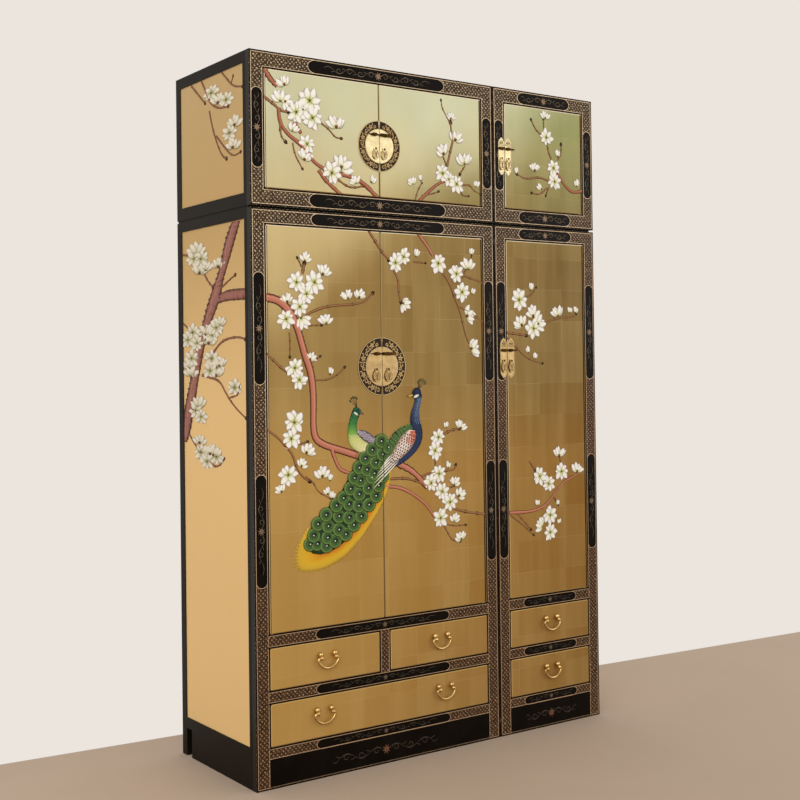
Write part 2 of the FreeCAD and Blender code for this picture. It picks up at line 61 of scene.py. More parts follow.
# %% [markdown]
# ## The camera
#
# The camera was found by matching the corners of the cabinets with the photograph. It could also be set
# by eye, but a matched camera lets a place be given as a point of the photograph and then cast back
# onto the front or the side of the wardrobe, which is how the painting is laid out further down.

# %% Camera
picture_size = 800
camera_azimuth = math.radians(-35.095)
camera_rise = math.radians(-0.592)
camera_roll = math.radians(-0.711)
focal_pixels = 1256.2
axis_pixel = np.array([387.6, 359.8])
camera_from_corner = np.array([-1.9707, -3.5643, 1.3449])

camera_place = np.array([left_edge, front, floor_level]) + camera_from_corner
back_way = np.array([
    math.sin(camera_azimuth) * math.cos(camera_rise),
    -math.cos(camera_azimuth) * math.cos(camera_rise),
    math.sin(camera_rise),
])
level_right = np.cross([0.0, 0.0, 1.0], back_way)
level_right /= np.linalg.norm(level_right)
level_up = np.cross(back_way, level_right)
roll_cos, roll_sin = math.cos(camera_roll), math.sin(camera_roll)
camera_axes = np.array([
    roll_cos * level_right + roll_sin * level_up,
    roll_cos * level_up - roll_sin * level_right,
    back_way,
])

lens = bpy.data.cameras.new("camera")
lens.sensor_width = 36.0
lens.lens = focal_pixels / picture_size * lens.sensor_width
lens.shift_x = 0.5 - axis_pixel[0] / picture_size
lens.shift_y = axis_pixel[1] / picture_size - 0.5
camera = bpy.data.objects.new("camera", lens)
camera.matrix_world = Matrix.Translation(Vector(camera_place)) @ Matrix(camera_axes.T.tolist()).to_4x4()
scene.collection.objects.link(camera)
scene.camera = camera
print("lens", round(lens.lens, 2), "mm, shift", round(lens.shift_x, 4), round(lens.shift_y, 4))

# %% [markdown]
# A place on the photograph is a sight line from the camera. Where it meets the front or the side is the
# place on the wardrobe, so a branch can be traced on the photograph and still be drawn in metres.

# %% Cast a point of the photograph back onto the wardrobe
def cast(pixels, axis, place):
    """Where the sight lines through points of the picture meet a plane square to one axis, as the other
    two places there. A pixel's offset from the optical axis over the focal length gives a slope, turned
    from the camera's axes into the world's, and the line is followed until it reaches the plane."""
    offset = (np.asarray(pixels, dtype=float) - axis_pixel) / focal_pixels
    slopes = np.stack([offset[..., 0], -offset[..., 1], -np.ones(offset.shape[:-1])], axis=-1)
    lines = slopes @ camera_axes
    reach = (place - camera_place[axis]) / lines[..., axis]
    return np.delete(camera_place + reach[..., None] * lines, axis, axis=-1)


def on_front(pixels):
    """Points of the picture cast onto the front plane, as pairs of x and z."""
    return cast(pixels, 1, front)


print("front at the picture's centre:", on_front([400, 400]).round(3))

# %% [markdown]
# ## Nodes in one line each
#
# A finish in Blender is a tree of nodes. It could be wired by hand in the editor, but written out it can
# be read and changed like a recipe. The two classes here keep a recipe short: one adds and feeds nodes,
# the other starts a material with its shader, its output and the place on the wardrobe in metres.

# %% Helpers for node trees
class Graph:
    """Adds nodes to the tree of a material, a world or a group. A value that is fed to a socket is a
    plain number or colour, or the output of another node."""

    def __init__(self, tree):
        self.tree = tree

    def add(self, kind, inputs=None, **settings):
        made = self.tree.nodes.new(kind)
        for key, value in settings.items():
            setattr(made, key, value)
        for key, value in (inputs or {}).items():
            self.feed(made.inputs[key], value)
        return made

    def feed(self, socket, value):
        if isinstance(value, bpy.types.NodeSocket):
            self.tree.links.new(value, socket)
        else:
            socket.default_value = value

    def fill(self, node, **sockets):
        """Feeds a node by the names of its sockets, with underscores for spaces."""
        for key, value in sockets.items():
            self.feed(node.inputs[key.replace("_", " ")], value)
        return node.outputs

    def group(self, tree, **sockets):
        """Places a shared effect with its own values."""
        return self.fill(self.add("ShaderNodeGroup", node_tree=tree), **sockets)

    def math(self, operation, first, second=0.0):
        return self.add("ShaderNodeMath", {0: first, 1: second}, operation=operation).outputs[0]

    def plus(self, first, second):
        return self.math("ADD", first, second)

    def minus(self, first, second):
        return self.math("SUBTRACT", first, second)

    def times(self, first, second):
        return self.math("MULTIPLY", first, second)

    def spread(self, value, low, high, new_low=0.0, new_high=1.0, way="LINEAR"):
        sockets = {"Value": value, "From Min": low, "From Max": high, "To Min": new_low, "To Max": new_high}
        return self.add("ShaderNodeMapRange", sockets, interpolation_type=way).outputs[0]

    def smooth(self, value, low, high):
        return self.spread(value, low, high, way="SMOOTHSTEP")

    def mix(self, factor, first, second, blend="MIX"):
        made = self.add("ShaderNodeMix", data_type="RGBA", blend_type=blend)
        for index, value in ((0, factor), (6, first), (7, second)):
            self.feed(made.inputs[index], value)
        return made.outputs[2]

    def noise(self, place, scale, detail=3.0, roughness=0.5):
        sockets = {"Vector": place, "Scale": scale, "Detail": detail, "Roughness": roughness}
        return self.add("ShaderNodeTexNoise", sockets).outputs["Fac"]

    def cell_tone(self, first, second):
        """A random number for each whole pair of numbers, so for each cell of a grid."""
        cell = self.join(self.math("FLOOR", first), self.math("FLOOR", second))
        return self.add("ShaderNodeTexWhiteNoise", {"Vector": cell}, noise_dimensions="3D").outputs["Value"]

    def stretch(self, place, factors):
        return self.add("ShaderNodeVectorMath", {0: place, 1: factors}, operation="MULTIPLY").outputs[0]

    def split(self, place):
        return self.add("ShaderNodeSeparateXYZ", {0: place}).outputs

    def join(self, x, y, z=0.0):
        return self.add("ShaderNodeCombineXYZ", {0: x, 1: y, 2: z}).outputs[0]

    def bump(self, height, strength, distance):
        sockets = {"Height": height, "Strength": strength, "Distance": distance}
        return self.add("ShaderNodeBump", sockets).outputs["Normal"]


class Finish(Graph):
    """A material under way, with its shader and output in place."""

    def __init__(self, name):
        self.material = bpy.data.materials.new(name)
        self.material.use_nodes = True
        super().__init__(self.material.node_tree)
        self.tree.nodes.clear()
        self.shader = self.add("ShaderNodeBsdfPrincipled")
        self.output = self.add("ShaderNodeOutputMaterial", {0: self.shader.outputs[0]})
        coordinates = self.add("ShaderNodeTexCoord").outputs
        self.place, self.normal = coordinates["Object"], coordinates["Normal"]

    def tint(self):
        """The colour that a piece carries point by point."""
        return self.add("ShaderNodeAttribute", attribute_name="tint").outputs["Color"]

    def shade(self, **sockets):
        """Feeds the shader and hands over the finished material."""
        self.fill(self.shader, **sockets)
        return self.material


def paint(red, green, blue):
    """A colour as a painter reads it from a swatch, 0 to 255, turned into the linear values of light."""
    shade = np.array([red, green, blue]) / 255.0
    linear = np.where(shade <= 0.04045, shade / 12.92, ((shade + 0.055) / 1.055) ** 2.4)
    return (*linear.tolist(), 1.0)


print("a middle grey is", round(paint(128, 128, 128)[0], 3), "in linear light")

# %% [markdown]
# ## The studio
#
# The wardrobe stands on a plain pale floor in front of a plain pale wall colour. The wall is only the
# colour of the world, so the object can be walked round. One broad soft lamp from the front left and a
# weak one from the right give the frames their shape, and the world fills the rest.

# %% Floor
wall_colour = paint(236, 229, 222)
floor_colour, floor_dark, floor_light = paint(184, 162, 141), paint(140, 122, 104), paint(198, 178, 156)
floor_half_size = 14.0
wall_foot_pixels = np.array([[0.0, 765.0], [800.0, 632.0]])


def make_floor():
    """A wide plain floor. Past the foot of the wall it shows the camera the wall's plain colour."""
    near, far = cast(wall_foot_pixels, 2, floor_level)
    slope = (far[1] - near[1]) / (far[0] - near[0])
    size = floor_half_size
    mesh = bpy.data.meshes.new("floor")
    corners = [(-size, -size, 0), (size, -size, 0), (size, size, 0), (-size, size, 0)]
    mesh.from_pydata(corners, [], [(0, 1, 2, 3)])
    ground = bpy.data.objects.new("floor", mesh)
    scene.collection.objects.link(ground)
    graph = Finish("floor")
    x, y, _ = graph.split(graph.place)
    past = graph.minus(graph.minus(y, float(near[1])),
                       graph.times(graph.minus(x, float(near[0])), float(slope)))
    grain = graph.noise(graph.place, 220.0, 4.0)
    worn = graph.noise(graph.place, 1.4, 3.0)
    tone = graph.mix(graph.spread(grain, 0.3, 0.7, 0.0, 0.16), floor_colour, floor_dark)
    tone = graph.mix(graph.spread(worn, 0.3, 0.7, 0.0, 0.2), tone, floor_light)
    wall_zone = graph.smooth(past, 0.0, 0.01)
    plain = graph.add("ShaderNodeEmission", {"Color": wall_colour, "Strength": 1.0}).outputs[0]
    seen = graph.times(wall_zone, graph.add("ShaderNodeLightPath").outputs["Is Camera Ray"])
    blended = graph.add("ShaderNodeMixShader", {0: seen, 1: graph.shader.outputs[0], 2: plain})
    graph.feed(graph.output.inputs[0], blended.outputs[0])
    mesh.materials.append(graph.shade(Base_Color=graph.mix(wall_zone, tone, wall_colour), Roughness=0.9,
                                      Normal=graph.bump(grain, 0.25, 0.002)))
    print("foot of the wall from", near.round(2), "to", far.round(2))


make_floor()

# %% [markdown]
# An even surround lights the whole piece, as a white studio does. The lamps only model its corners, so
# that the gold on the front neither burns out nor goes flat.

# %% Wall colour and lamps
def make_world(fill):
    """An even pale surround. The camera and shiny pieces see the wall's colour at its plain strength."""
    scene.world = bpy.data.worlds.new("surround")
    scene.world.use_nodes = True
    graph = Graph(scene.world.node_tree)
    graph.tree.nodes.clear()
    path = graph.add("ShaderNodeLightPath").outputs
    lit = graph.add("ShaderNodeBackground", {"Color": (1.0, 0.985, 0.965, 1.0), "Strength": fill}).outputs[0]
    seen = graph.add("ShaderNodeBackground", {"Color": wall_colour, "Strength": 1.0}).outputs[0]
    mirrored = graph.math("MAXIMUM", path["Is Glossy Ray"], path["Is Transmission Ray"])
    shown = graph.math("MAXIMUM", path["Is Camera Ray"], mirrored)
    chosen = graph.add("ShaderNodeMixShader", {0: shown, 1: lit, 2: seen})
    graph.add("ShaderNodeOutputWorld", {0: chosen.outputs[0]})


def make_lamp(name, place, target, size, watts):
    """A square soft lamp that faces a target."""
    light = bpy.data.lights.new(name, "AREA")
    light.size = size
    light.energy = watts
    lamp = bpy.data.objects.new(name, light)
    aim = Vector(target) - Vector(place)
    lamp.matrix_world = Matrix.Translation(place) @ aim.to_track_quat("-Z", "Y").to_matrix().to_4x4()
    scene.collection.objects.link(lamp)
    print(name, "lamp of", watts, "watts")


make_world(0.86)
make_lamp("key", (-4.2, -4.6, 3.4), (0.0, 0.0, 1.2), 3.2, 120.0)
make_lamp("fill", (4.4, -4.8, 2.2), (0.0, 0.0, 1.2), 3.0, 36.0)
scene.view_settings.view_transform = "Standard"

# %% [markdown]
# ## Finishes
#
# Each finish is a node material on Object coordinates, which are the wardrobe's own metres, so patterns
# have a real size and stay put when a door turns. Effects that several finishes share are node groups
# with named inputs: the squares of gold leaf, the painted diaper and the slow drift of gloss that hand
# rubbing leaves.

# %% Shared effects
def new_group(name, inputs, outputs):
    """A shader group and the graph to fill it with. An input given as None is a place, the others are
    numbers, and so are the outputs."""
    tree = bpy.data.node_groups.new(name, "ShaderNodeTree")
    for label, value in inputs.items():
        kind = "NodeSocketVector" if value is None else "NodeSocketFloat"
        socket = tree.interface.new_socket(label, in_out="INPUT", socket_type=kind)
        if value is not None:
            socket.default_value = value
    for label in outputs:
        tree.interface.new_socket(label, in_out="OUTPUT", socket_type="NodeSocketFloat")
    graph = Graph(tree)
    return graph, graph.add("NodeGroupInput").outputs, graph.add("NodeGroupOutput")


def leaf_squares_group():
    """Squares of leaf laid edge over edge. A cell's number gives its tone, and the distance to the
    nearest cell edge, wandering a little, gives the lap line."""
    graph, given, out = new_group("leaf_squares", {"Place": None, "Size": 0.1, "Lap": 0.02},
                                  ["Tone", "Lap Line", "Streak"])
    place = given["Place"]
    shift = graph.times(graph.minus(graph.noise(place, 9.0, 2.0), 0.5), 0.05)
    x, _, z = graph.split(place)
    across = graph.plus(graph.math("DIVIDE", x, given["Size"]), shift)
    along = graph.minus(graph.math("DIVIDE", z, given["Size"]), shift)
    nearest = graph.math("MINIMUM", graph.math("PINGPONG", across, 0.5), graph.math("PINGPONG", along, 0.5))
    line = graph.minus(1.0, graph.smooth(nearest, 0.0, given["Lap"]))
    fading = graph.smooth(graph.noise(place, 5.0, 3.0), 0.42, 0.6)
    graph.fill(out, Tone=graph.cell_tone(across, along), Lap_Line=graph.times(line, fading),
               Streak=graph.noise(graph.stretch(place, (14.0, 14.0, 1.1)), 1.0, 3.0, 0.55))
    return graph.tree


def diaper_group():
    """A painted diaper. Turning the plane by 45 degrees makes a lozenge grid, and a little noise gives it
    a hand's wander. The larger of the two distances from a cell's middle draws its edges, the smaller
    one finds the crossings, and where the two are alike there a flower of four petals opens."""
    graph, given, out = new_group("painted_diaper", {"Across": 0.0, "Along": 0.0, "Pitch": 0.013},
                                  ["Line", "Flower", "Cell Tone"])
    hand = graph.noise(graph.join(given["Across"], given["Along"]), 64.0, 2.0)
    u = graph.plus(graph.math("DIVIDE", given["Across"], given["Pitch"]), graph.times(hand, 0.95))
    v = graph.minus(graph.math("DIVIDE", given["Along"], given["Pitch"]), graph.times(hand, 0.8))
    first, second = graph.plus(u, v), graph.minus(u, v)
    a, b = (graph.math("ABSOLUTE", graph.minus(graph.math("FRACT", side), 0.5)) for side in (first, second))
    far = graph.math("MAXIMUM", a, b)
    lattice = graph.smooth(far, 0.41, 0.46)
    dot = graph.minus(1.0, graph.smooth(far, 0.06, 0.13))
    alike = graph.minus(1.0, graph.smooth(graph.math("ABSOLUTE", graph.minus(a, b)), 0.05, 0.11))
    graph.fill(out, Line=graph.math("MAXIMUM", lattice, dot), Cell_Tone=graph.cell_tone(first, second),
               Flower=graph.times(alike, graph.smooth(graph.math("MINIMUM", a, b), 0.29, 0.35)))
    return graph.tree


def rubbed_gloss_group():
    """How evenly a surface shines: slow clouds of roughness, and the fine ripple of a brushed coat."""
    graph, given, out = new_group("rubbed_gloss", {"Place": None, "Roughness": 0.3, "Drift": 0.1},
                                  ["Roughness", "Ripple"])
    drift = graph.times(graph.minus(graph.noise(given["Place"], 6.0, 4.0, 0.6), 0.5), given["Drift"])
    graph.fill(out, Roughness=graph.plus(given["Roughness"], drift),
               Ripple=graph.noise(given["Place"], 60.0, 2.0))
    return graph.tree


leaf_squares = leaf_squares_group()
painted_diaper = diaper_group()
rubbed_gloss = rubbed_gloss_group()
print("shared effects:", leaf_squares.name, painted_diaper.name, rubbed_gloss.name)

# %% [markdown]
# Gold leaf is laid in squares over sized lacquer and burnished. An even gold would look like paint, so the
# tone drifts in clouds over the whole front, every square has its own, and the laps show. The room's light
# is painted in as well: lit gold low on the left and over the upper left, painted shade to the right and from
# about a metre up. The sides catch less light and are a flatter, paler gold, lighter low down and darker
# high up as painted light.

# %% Gold leaf
# Painted light and shade: lit and shaded copies of the leaf's gold, and lit pale tones for the upper left.
lit_left_gold, shaded_right_gold = paint(188, 147, 76), paint(136, 95, 30)
shaded_gold, dim_shaded_gold = paint(154, 125, 68), paint(104, 78, 26)
lit_pale_gold = paint(211, 190, 136)
lit_green_gold, shaded_green_gold = paint(214, 219, 184), paint(148, 152, 98)
deep_leaf, square_leaf, streak_leaf, lap_leaf = (
    paint(150, 110, 52), paint(222, 198, 132), paint(228, 206, 142), paint(226, 210, 160))
sunny_leaf, sheltered_leaf = paint(238, 200, 138), paint(193, 155, 97)
board_lacquer = paint(24, 16, 8)
leaf_wrap = 0.0012
side_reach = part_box("side_panels")[1][0]


def on_front_face(graph, x, y):
    """Whether a point lies on the front of a door or drawer, or on its rounded edge."""
    return graph.math("LESS_THAN", y, front + leaf_wrap)


def on_outer_face(graph, x, y):
    """Whether a point lies on the outer face of a side panel."""
    return graph.math("GREATER_THAN", graph.math("ABSOLUTE", x), side_reach - leaf_wrap)


def gilding(name, metallic, roughness, size, lightness, shown=on_front_face):
    """Leaf over board, with the room's light painted into its colour. Low down it goes from lit warm gold at
    the left to shaded gold at the right; from about a metre up it turns to painted shade, and a slanting zone
    over the upper left is a painted pool of light. Towards the top the tone is tinted pale green. A given
    lightness mixes in painted light that is lighter low down and darker high up. Each square differs a little,
    the laps show as paler lines and a broad soft streak follows the burnisher. Only the shown face is gilded;
    the edges and the back of the board are dark lacquer."""
    graph = Finish(name)
    leaf = graph.group(leaf_squares, Place=graph.place, Size=size, Lap=0.014)
    gloss = graph.group(rubbed_gloss, Place=graph.place, Roughness=roughness, Drift=0.16)
    x, y, z = graph.split(graph.place)
    across = graph.spread(x, -0.72, 0.72)
    clouds = graph.noise(graph.stretch(graph.place, (1.0, 1.0, 0.6)), 2.6, 3.0)
    # Painted light: a slanting zone over the upper left is lit, the rest is in painted shade.
    light_slant = graph.plus(graph.minus(z, graph.times(across, 0.85)), graph.spread(clouds, 0.3, 0.7, -0.12, 0.12))
    height = graph.smooth(z, 1.72, 2.34)
    shaded = graph.mix(graph.smooth(z, 0.95, 1.4), graph.mix(across, lit_left_gold, shaded_right_gold),
                       graph.mix(across, shaded_gold, dim_shaded_gold))
    colour = graph.mix(graph.smooth(light_slant, 1.4, 1.84), graph.mix(height, shaded, shaded_green_gold),
                       graph.mix(height, lit_pale_gold, lit_green_gold))
    colour = graph.mix(graph.spread(clouds, 0.35, 0.7, 0.0, 0.22), colour, deep_leaf)
    colour = graph.mix(graph.spread(leaf["Tone"], 0.0, 1.0, 0.0, 0.1), colour, square_leaf)
    colour = graph.mix(graph.spread(leaf["Streak"], 0.4, 0.75, 0.0, 0.12), colour, streak_leaf)
    colour = graph.mix(graph.times(leaf["Lap Line"], 0.16), colour, lap_leaf)
    colour = graph.mix(lightness, colour, graph.mix(graph.smooth(z, 1.2, 1.95), sunny_leaf, sheltered_leaf))
    face = shown(graph, x, y)
    relief = graph.plus(graph.times(leaf["Streak"], 0.5), leaf["Lap Line"])
    return graph.shade(Base_Color=graph.mix(face, board_lacquer, colour),
                       Metallic=graph.times(face, metallic), Roughness=gloss["Roughness"],
                       Normal=graph.bump(relief, 0.1, 0.0006), Specular_IOR_Level=0.2)


door_gilding = gilding("door_gilding", 0.3, 0.42, 0.118, 0.0)
drawer_gilding = gilding("drawer_gilding", 0.3, 0.44, 0.118, 0.04)
side_gilding = gilding("side_gilding", 0.06, 0.62, 0.16, 0.85, on_outer_face)
print("gilding:", door_gilding.name, drawer_gilding.name, side_gilding.name)

# %% [markdown]
# Lacquer is built up in many rubbed coats. It is close to black, and what the eye sees of it is its gloss.

# %% Black lacquer
def lacquer(name, tint, roughness):
    """Rubbed black lacquer: nearly black, with a dull bloom in clouds and a gloss that drifts."""
    graph = Finish(name)
    gloss = graph.group(rubbed_gloss, Place=graph.place, Roughness=roughness, Drift=0.14)
    dust = graph.spread(graph.noise(graph.place, 14.0, 5.0, 0.65), 0.4, 0.8, 0.0, 0.3)
    return graph.shade(Base_Color=graph.mix(dust, tint, paint(34, 28, 20)), Roughness=gloss["Roughness"],
                       Normal=graph.bump(gloss["Ripple"], 0.06, 0.0008), Specular_IOR_Level=0.08)


side_black = lacquer("side_black_lacquer", paint(22, 16, 9), 0.42)
deep_black = lacquer("deep_black_lacquer", paint(9, 5, 2), 0.34)
print("lacquers:", side_black.name, deep_black.name)

# %% [markdown]
# The diaper covers every frame member with the same small lozenges. Cut into the mesh it would take
# millions of faces, so it is drawn by the material, with a very low bump that lifts the painted lines.

# %% The painted diaper
def diaper_front(name):
    """Black lacquer whose front faces carry the painted diaper: brown ground, tan lines, pale flowers. Lines
    and flowers are paler up and to the left, as painted light. The normal's y says which faces look forward,
    so the edges of the frame stay plain black."""
    graph = Finish(name)
    x, _, z = graph.split(graph.place)
    weave = graph.group(painted_diaper, Across=x, Along=z, Pitch=0.0156)
    gloss = graph.group(rubbed_gloss, Place=graph.place, Roughness=0.4, Drift=0.16)
    drift = graph.noise(graph.place, 7.0, 4.0, 0.6)
    ground = graph.mix(graph.spread(drift, 0.35, 0.65), paint(34, 20, 8), paint(52, 33, 16))
    ground = graph.mix(graph.times(weave["Cell Tone"], 0.5), ground, paint(78, 48, 26))
    specks = graph.minus(graph.noise(graph.place, 230.0, 3.0, 0.65), 0.48)
    drawn = graph.plus(graph.times(weave["Line"], 0.22), graph.times(weave["Flower"], 0.75))
    inked = graph.smooth(graph.plus(drawn, graph.times(specks, 2.4)), 0.1, 0.56)
    # Painted light: lines and flowers are paler up and to the left.
    higher = graph.smooth(graph.minus(z, graph.times(x, 0.5)), 0.9, 2.3)
    lines = graph.mix(higher, paint(104, 74, 44), paint(134, 114, 80))
    petals = graph.mix(higher, paint(182, 152, 118), paint(220, 206, 170))
    pattern = graph.mix(inked, ground, graph.mix(weave["Flower"], lines, petals))
    forward = graph.math("LESS_THAN", graph.split(graph.normal)[1], -0.5)
    colour = graph.mix(forward, paint(20, 17, 14), pattern)
    return graph.shade(Base_Color=colour, Roughness=gloss["Roughness"],
                       Normal=graph.bump(graph.times(inked, forward), 0.3, 0.0003), Specular_IOR_Level=0.2)


frame_diaper = diaper_front("frame_diaper")
print("diaper:", frame_diaper.name)

# %% [markdown]
# The fittings are sheet and cast brass with clouds of tarnish. Faces that look downwards and the plates
# below the upper doors are darker as painted shade, the raised chasing carries a painted highlight, and
# the staples and studs that a hand never polishes have gone brown.

# %% Brass
plate_front = 0.0016
boss_front = 0.0030
proud_margin = 0.0007
aged_brown, aged_black = paint(92, 66, 28), paint(34, 22, 8)


def brass(name, bright, deep, roughness, low=None, plate=None):
    """Polished brass with cloudy tarnish, painted shade on every face that looks downwards, and fine scratches
    in the roughness. A low tone, where one is given, takes over below the height of the upper doors as
    painted shade. Where the plate's own height is given, the staples and studs that stand out from it are
    dark with age."""
    graph = Finish(name)
    _, y, z = graph.split(graph.place)
    clouds = graph.noise(graph.place, 45.0, 4.0, 0.6)
    scratch = graph.noise(graph.stretch(graph.place, (900.0, 900.0, 60.0)), 1.0, 2.0)
    # Painted shade: the low tone below the upper doors, and a darker tone on faces that look downwards.
    lit_brass = graph.mix(graph.smooth(z, 1.5, 2.1), low, bright) if low else bright
    under = graph.minus(1.0, graph.smooth(graph.split(graph.normal)[2], -0.75, 0.05))
    darkening = graph.math("MAXIMUM", under, graph.spread(clouds, 0.35, 0.7, 0.0, 0.8))
    colour = graph.mix(darkening, lit_brass, deep)
    if plate:
        proud = graph.math("LESS_THAN", y, front - plate - proud_margin)
        colour = graph.mix(proud, colour, graph.mix(darkening, aged_brown, aged_black))
    return graph.shade(Base_Color=colour, Roughness=graph.plus(roughness, graph.times(scratch, 0.12)),
                       Normal=graph.bump(clouds, 0.05, 0.0004), Metallic=1.0)


def tinted_brass(name, roughness):
    """Chased brass: its tone comes point by point from the chaser's strokes, a painted highlight along their
    tops and painted shade at their sides, dulled by clouds of tarnish.
    """
    graph = Finish(name)
    clouds = graph.noise(graph.place, 260.0, 4.0, 0.6)
    darkening = graph.spread(clouds, 0.4, 0.75, 0.0, 0.5)
    return graph.shade(Base_Color=graph.mix(darkening, graph.tint(), paint(96, 74, 52)), Metallic=0.7,
                       Roughness=graph.spread(clouds, 0.3, 0.7, roughness, roughness + 0.16),
                       Normal=graph.bump(clouds, 0.2, 0.0004))


# Painted shade: below the upper doors the plates take the darker low tone.
plate_tones = (paint(246, 236, 192), paint(216, 188, 130), 0.34, paint(180, 152, 106))
bright_brass = brass("bright_brass", paint(242, 214, 148), paint(172, 122, 52), 0.16)
plate_brass = brass("plate_brass", *plate_tones)
leaf_brass = brass("leaf_brass", *plate_tones, plate_front)
roundel_brass = brass("roundel_brass", *plate_tones, boss_front)
aged_brass = brass("aged_brass", aged_brown, aged_black, 0.4)
chased_brass = tinted_brass("chased_brass", 0.34)
print("brass stands", plate_front, "to", boss_front, "m proud of the doors")

# %% [markdown]
# The painting is thick body colour, and the ruled lines are ground gold in gum. One material serves each,
# because the colours travel with the marks themselves.

# %% Body colour and shell gold
def painted(name, roughness):
    """Body colour laid on with a small brush. The colour comes with each piece, point by point."""
    graph = Finish(name)
    bristles = graph.noise(graph.place, 420.0, 3.0, 0.6)
    shadow = graph.spread(bristles, 0.35, 0.75, 0.0, 0.12)
    return graph.shade(Base_Color=graph.mix(shadow, graph.tint(), paint(70, 50, 30), "MULTIPLY"),
                       Roughness=graph.spread(bristles, 0.3, 0.7, roughness - 0.06, roughness + 0.08),
                       Normal=graph.bump(bristles, 0.2, 0.0004), Specular_IOR_Level=0.2)


def painted_line(name):
    """Shell gold drawn with a ruling pen, paler up and to the left and darker down and to the right as painted
    light, and worn bare in spots.
    """
    graph = Finish(name)
    x, _, z = graph.split(graph.place)
    # Painted light: the gold is paler up and to the left.
    higher = graph.smooth(graph.minus(z, graph.times(x, 0.5)), 0.7, 2.2)
    worn = graph.noise(graph.place, 160.0, 3.0, 0.6)
    colour = graph.mix(higher, paint(194, 160, 124), paint(230, 204, 166))
    bare = graph.spread(worn, 0.5, 0.75, 0.0, 0.5)
    return graph.shade(Base_Color=graph.mix(bare, colour, paint(120, 88, 58)), Metallic=0.35,
                       Roughness=graph.spread(worn, 0.3, 0.7, 0.36, 0.52))


line_gold = painted_line("line_gold")
body_paint = painted("body_paint", 0.5)
print("paints:", line_gold.name, body_paint.name)

# %% [markdown]
# Inside there is plain wood, a steel rod and felt between the cabinets. They show only with the doors open.

# %% Wood, steel and felt
def wood(name, light, dark):
    """Plain board: long grain as noise drawn out along its length, with fine pores."""
    graph = Finish(name)
    grain = graph.noise(graph.stretch(graph.place, (2.4, 56.0, 56.0)), 1.0, 6.0, 0.62)
    pores = graph.noise(graph.stretch(graph.place, (60.0, 700.0, 700.0)), 1.0, 2.0)
    colour = graph.mix(graph.spread(grain, 0.35, 0.65), light, dark)
    return graph.shade(Base_Color=graph.mix(graph.spread(pores, 0.55, 0.8, 0.0, 0.4), colour, dark),
                       Roughness=graph.spread(grain, 0.3, 0.7, 0.5, 0.66),
                       Normal=graph.bump(pores, 0.15, 0.0004))


def brushed_steel(name):
    """Drawn tube: fine lines round the rod, as noise squeezed along its length."""
    graph = Finish(name)
    lines = graph.noise(graph.stretch(graph.place, (900.0, 8.0, 8.0)), 1.0, 3.0)
    return graph.shade(Base_Color=graph.mix(lines, paint(176, 176, 172), paint(205, 204, 200)),
                       Roughness=graph.spread(lines, 0.3, 0.7, 0.24, 0.4), Metallic=1.0)


def felt(name):
    """Pressed felt: matte, with short tangled fibres as fine noise."""
    graph = Finish(name)
    fibres = graph.noise(graph.place, 1600.0, 4.0, 0.7)
    return graph.shade(Base_Color=graph.mix(fibres, paint(26, 26, 26), paint(58, 56, 54)), Roughness=0.95,
                       Normal=graph.bump(fibres, 0.6, 0.0006), Sheen_Weight=0.4)


inner_wood = wood("inner_wood", paint(168, 128, 88), paint(122, 84, 52))
rod_steel = brushed_steel("rod_steel")
pad_felt = felt("pad_felt")
print("inside:", inner_wood.name, rod_steel.name, pad_felt.name)

# %% [markdown]
# The construction's pieces are named for what they are, so the end of a name is enough to pick a finish.
# The first line of the table that fits is taken, and whatever is left is bright brass.

# %% Give every construction piece its finish
finish_endings = [
    (("face_frame",), frame_diaper),
    (("side_frames", "spacer_strips"), side_black),
    (("side_panels",), side_gilding),
    (("_door",), door_gilding),
    (("drawer_front",), drawer_gilding),
    (("boards", "_box", "drawer_runners", "shelves"), inner_wood),
    (("hanging_rod", "rod_sockets"), rod_steel),
    (("side_pads",), pad_felt),
    (("roundel_left", "roundel_right"), roundel_brass),
    (("leaf", "leaves"), leaf_brass),
    (("_drop",), plate_brass),
    (("_pin",), aged_brass),
    (("",), bright_brass),
]
for name, piece in nodes.items():
    finish = next(finish for endings, finish in finish_endings if name.endswith(endings))
    piece.data.materials.clear()
    piece.data.materials.append(finish)
print("finished", len(nodes), "construction pieces")

# %% [markdown]
# ## Brush strokes and plates as surfaces
#
# Almost everything that is added below is low relief on a flat board: lines, scrolls, petals, feathers.
# All of it comes down to two shapes. A stroke is a low dome carried along a path with a changing width,
# like the mark of a loaded brush. A plate is a low dome inside an outline. Both are closed shells, and
# both are computed for many marks at once, so a door full of petals is a few lines of arithmetic.
#
# A section gives, for each point across a mark, its place from -1 to 1, its rise and its share of the
# colour at the rim. Painted marks are domed; ruled lines and metal plates are flat on top.

# %% The two sections of a mark
dome = {"across": [-1.0, -0.84, -0.5, 0.0, 0.5, 0.84, 1.0, 0.0],
        "rise": [0.0, 0.66, 0.93, 1.0, 0.93, 0.66, 0.0, 0.0],
        "rim": [1.0, 1.0, 0.1, 0.0, 0.1, 1.0, 1.0, 1.0]}
slab = {"across": [-1.0, -0.88, 0.88, 1.0, 0.0],
        "rise": [0.0, 1.0, 1.0, 0.0, 0.0],
        "rim": [1.0, 0.0, 0.0, 1.0, 1.0]}
print("points across a dome and a slab:", len(dome["across"]), len(slab["across"]))

# %% [markdown]
# A stroke places its section at every step of a path and joins each ring of points to the next. Widths,
# heights and colours may change along it, as they do when a brush is pressed down and lifted again.

# %% Strokes
def unit(ways):
    """Vectors brought to length one."""
    return ways / np.maximum(np.linalg.norm(ways, axis=-1, keepdims=True), 1e-9)


def headings(angles):
    """Unit vectors at angles: their cosine across and their sine up."""
    return np.stack([np.cos(angles), np.sin(angles)], axis=-1)


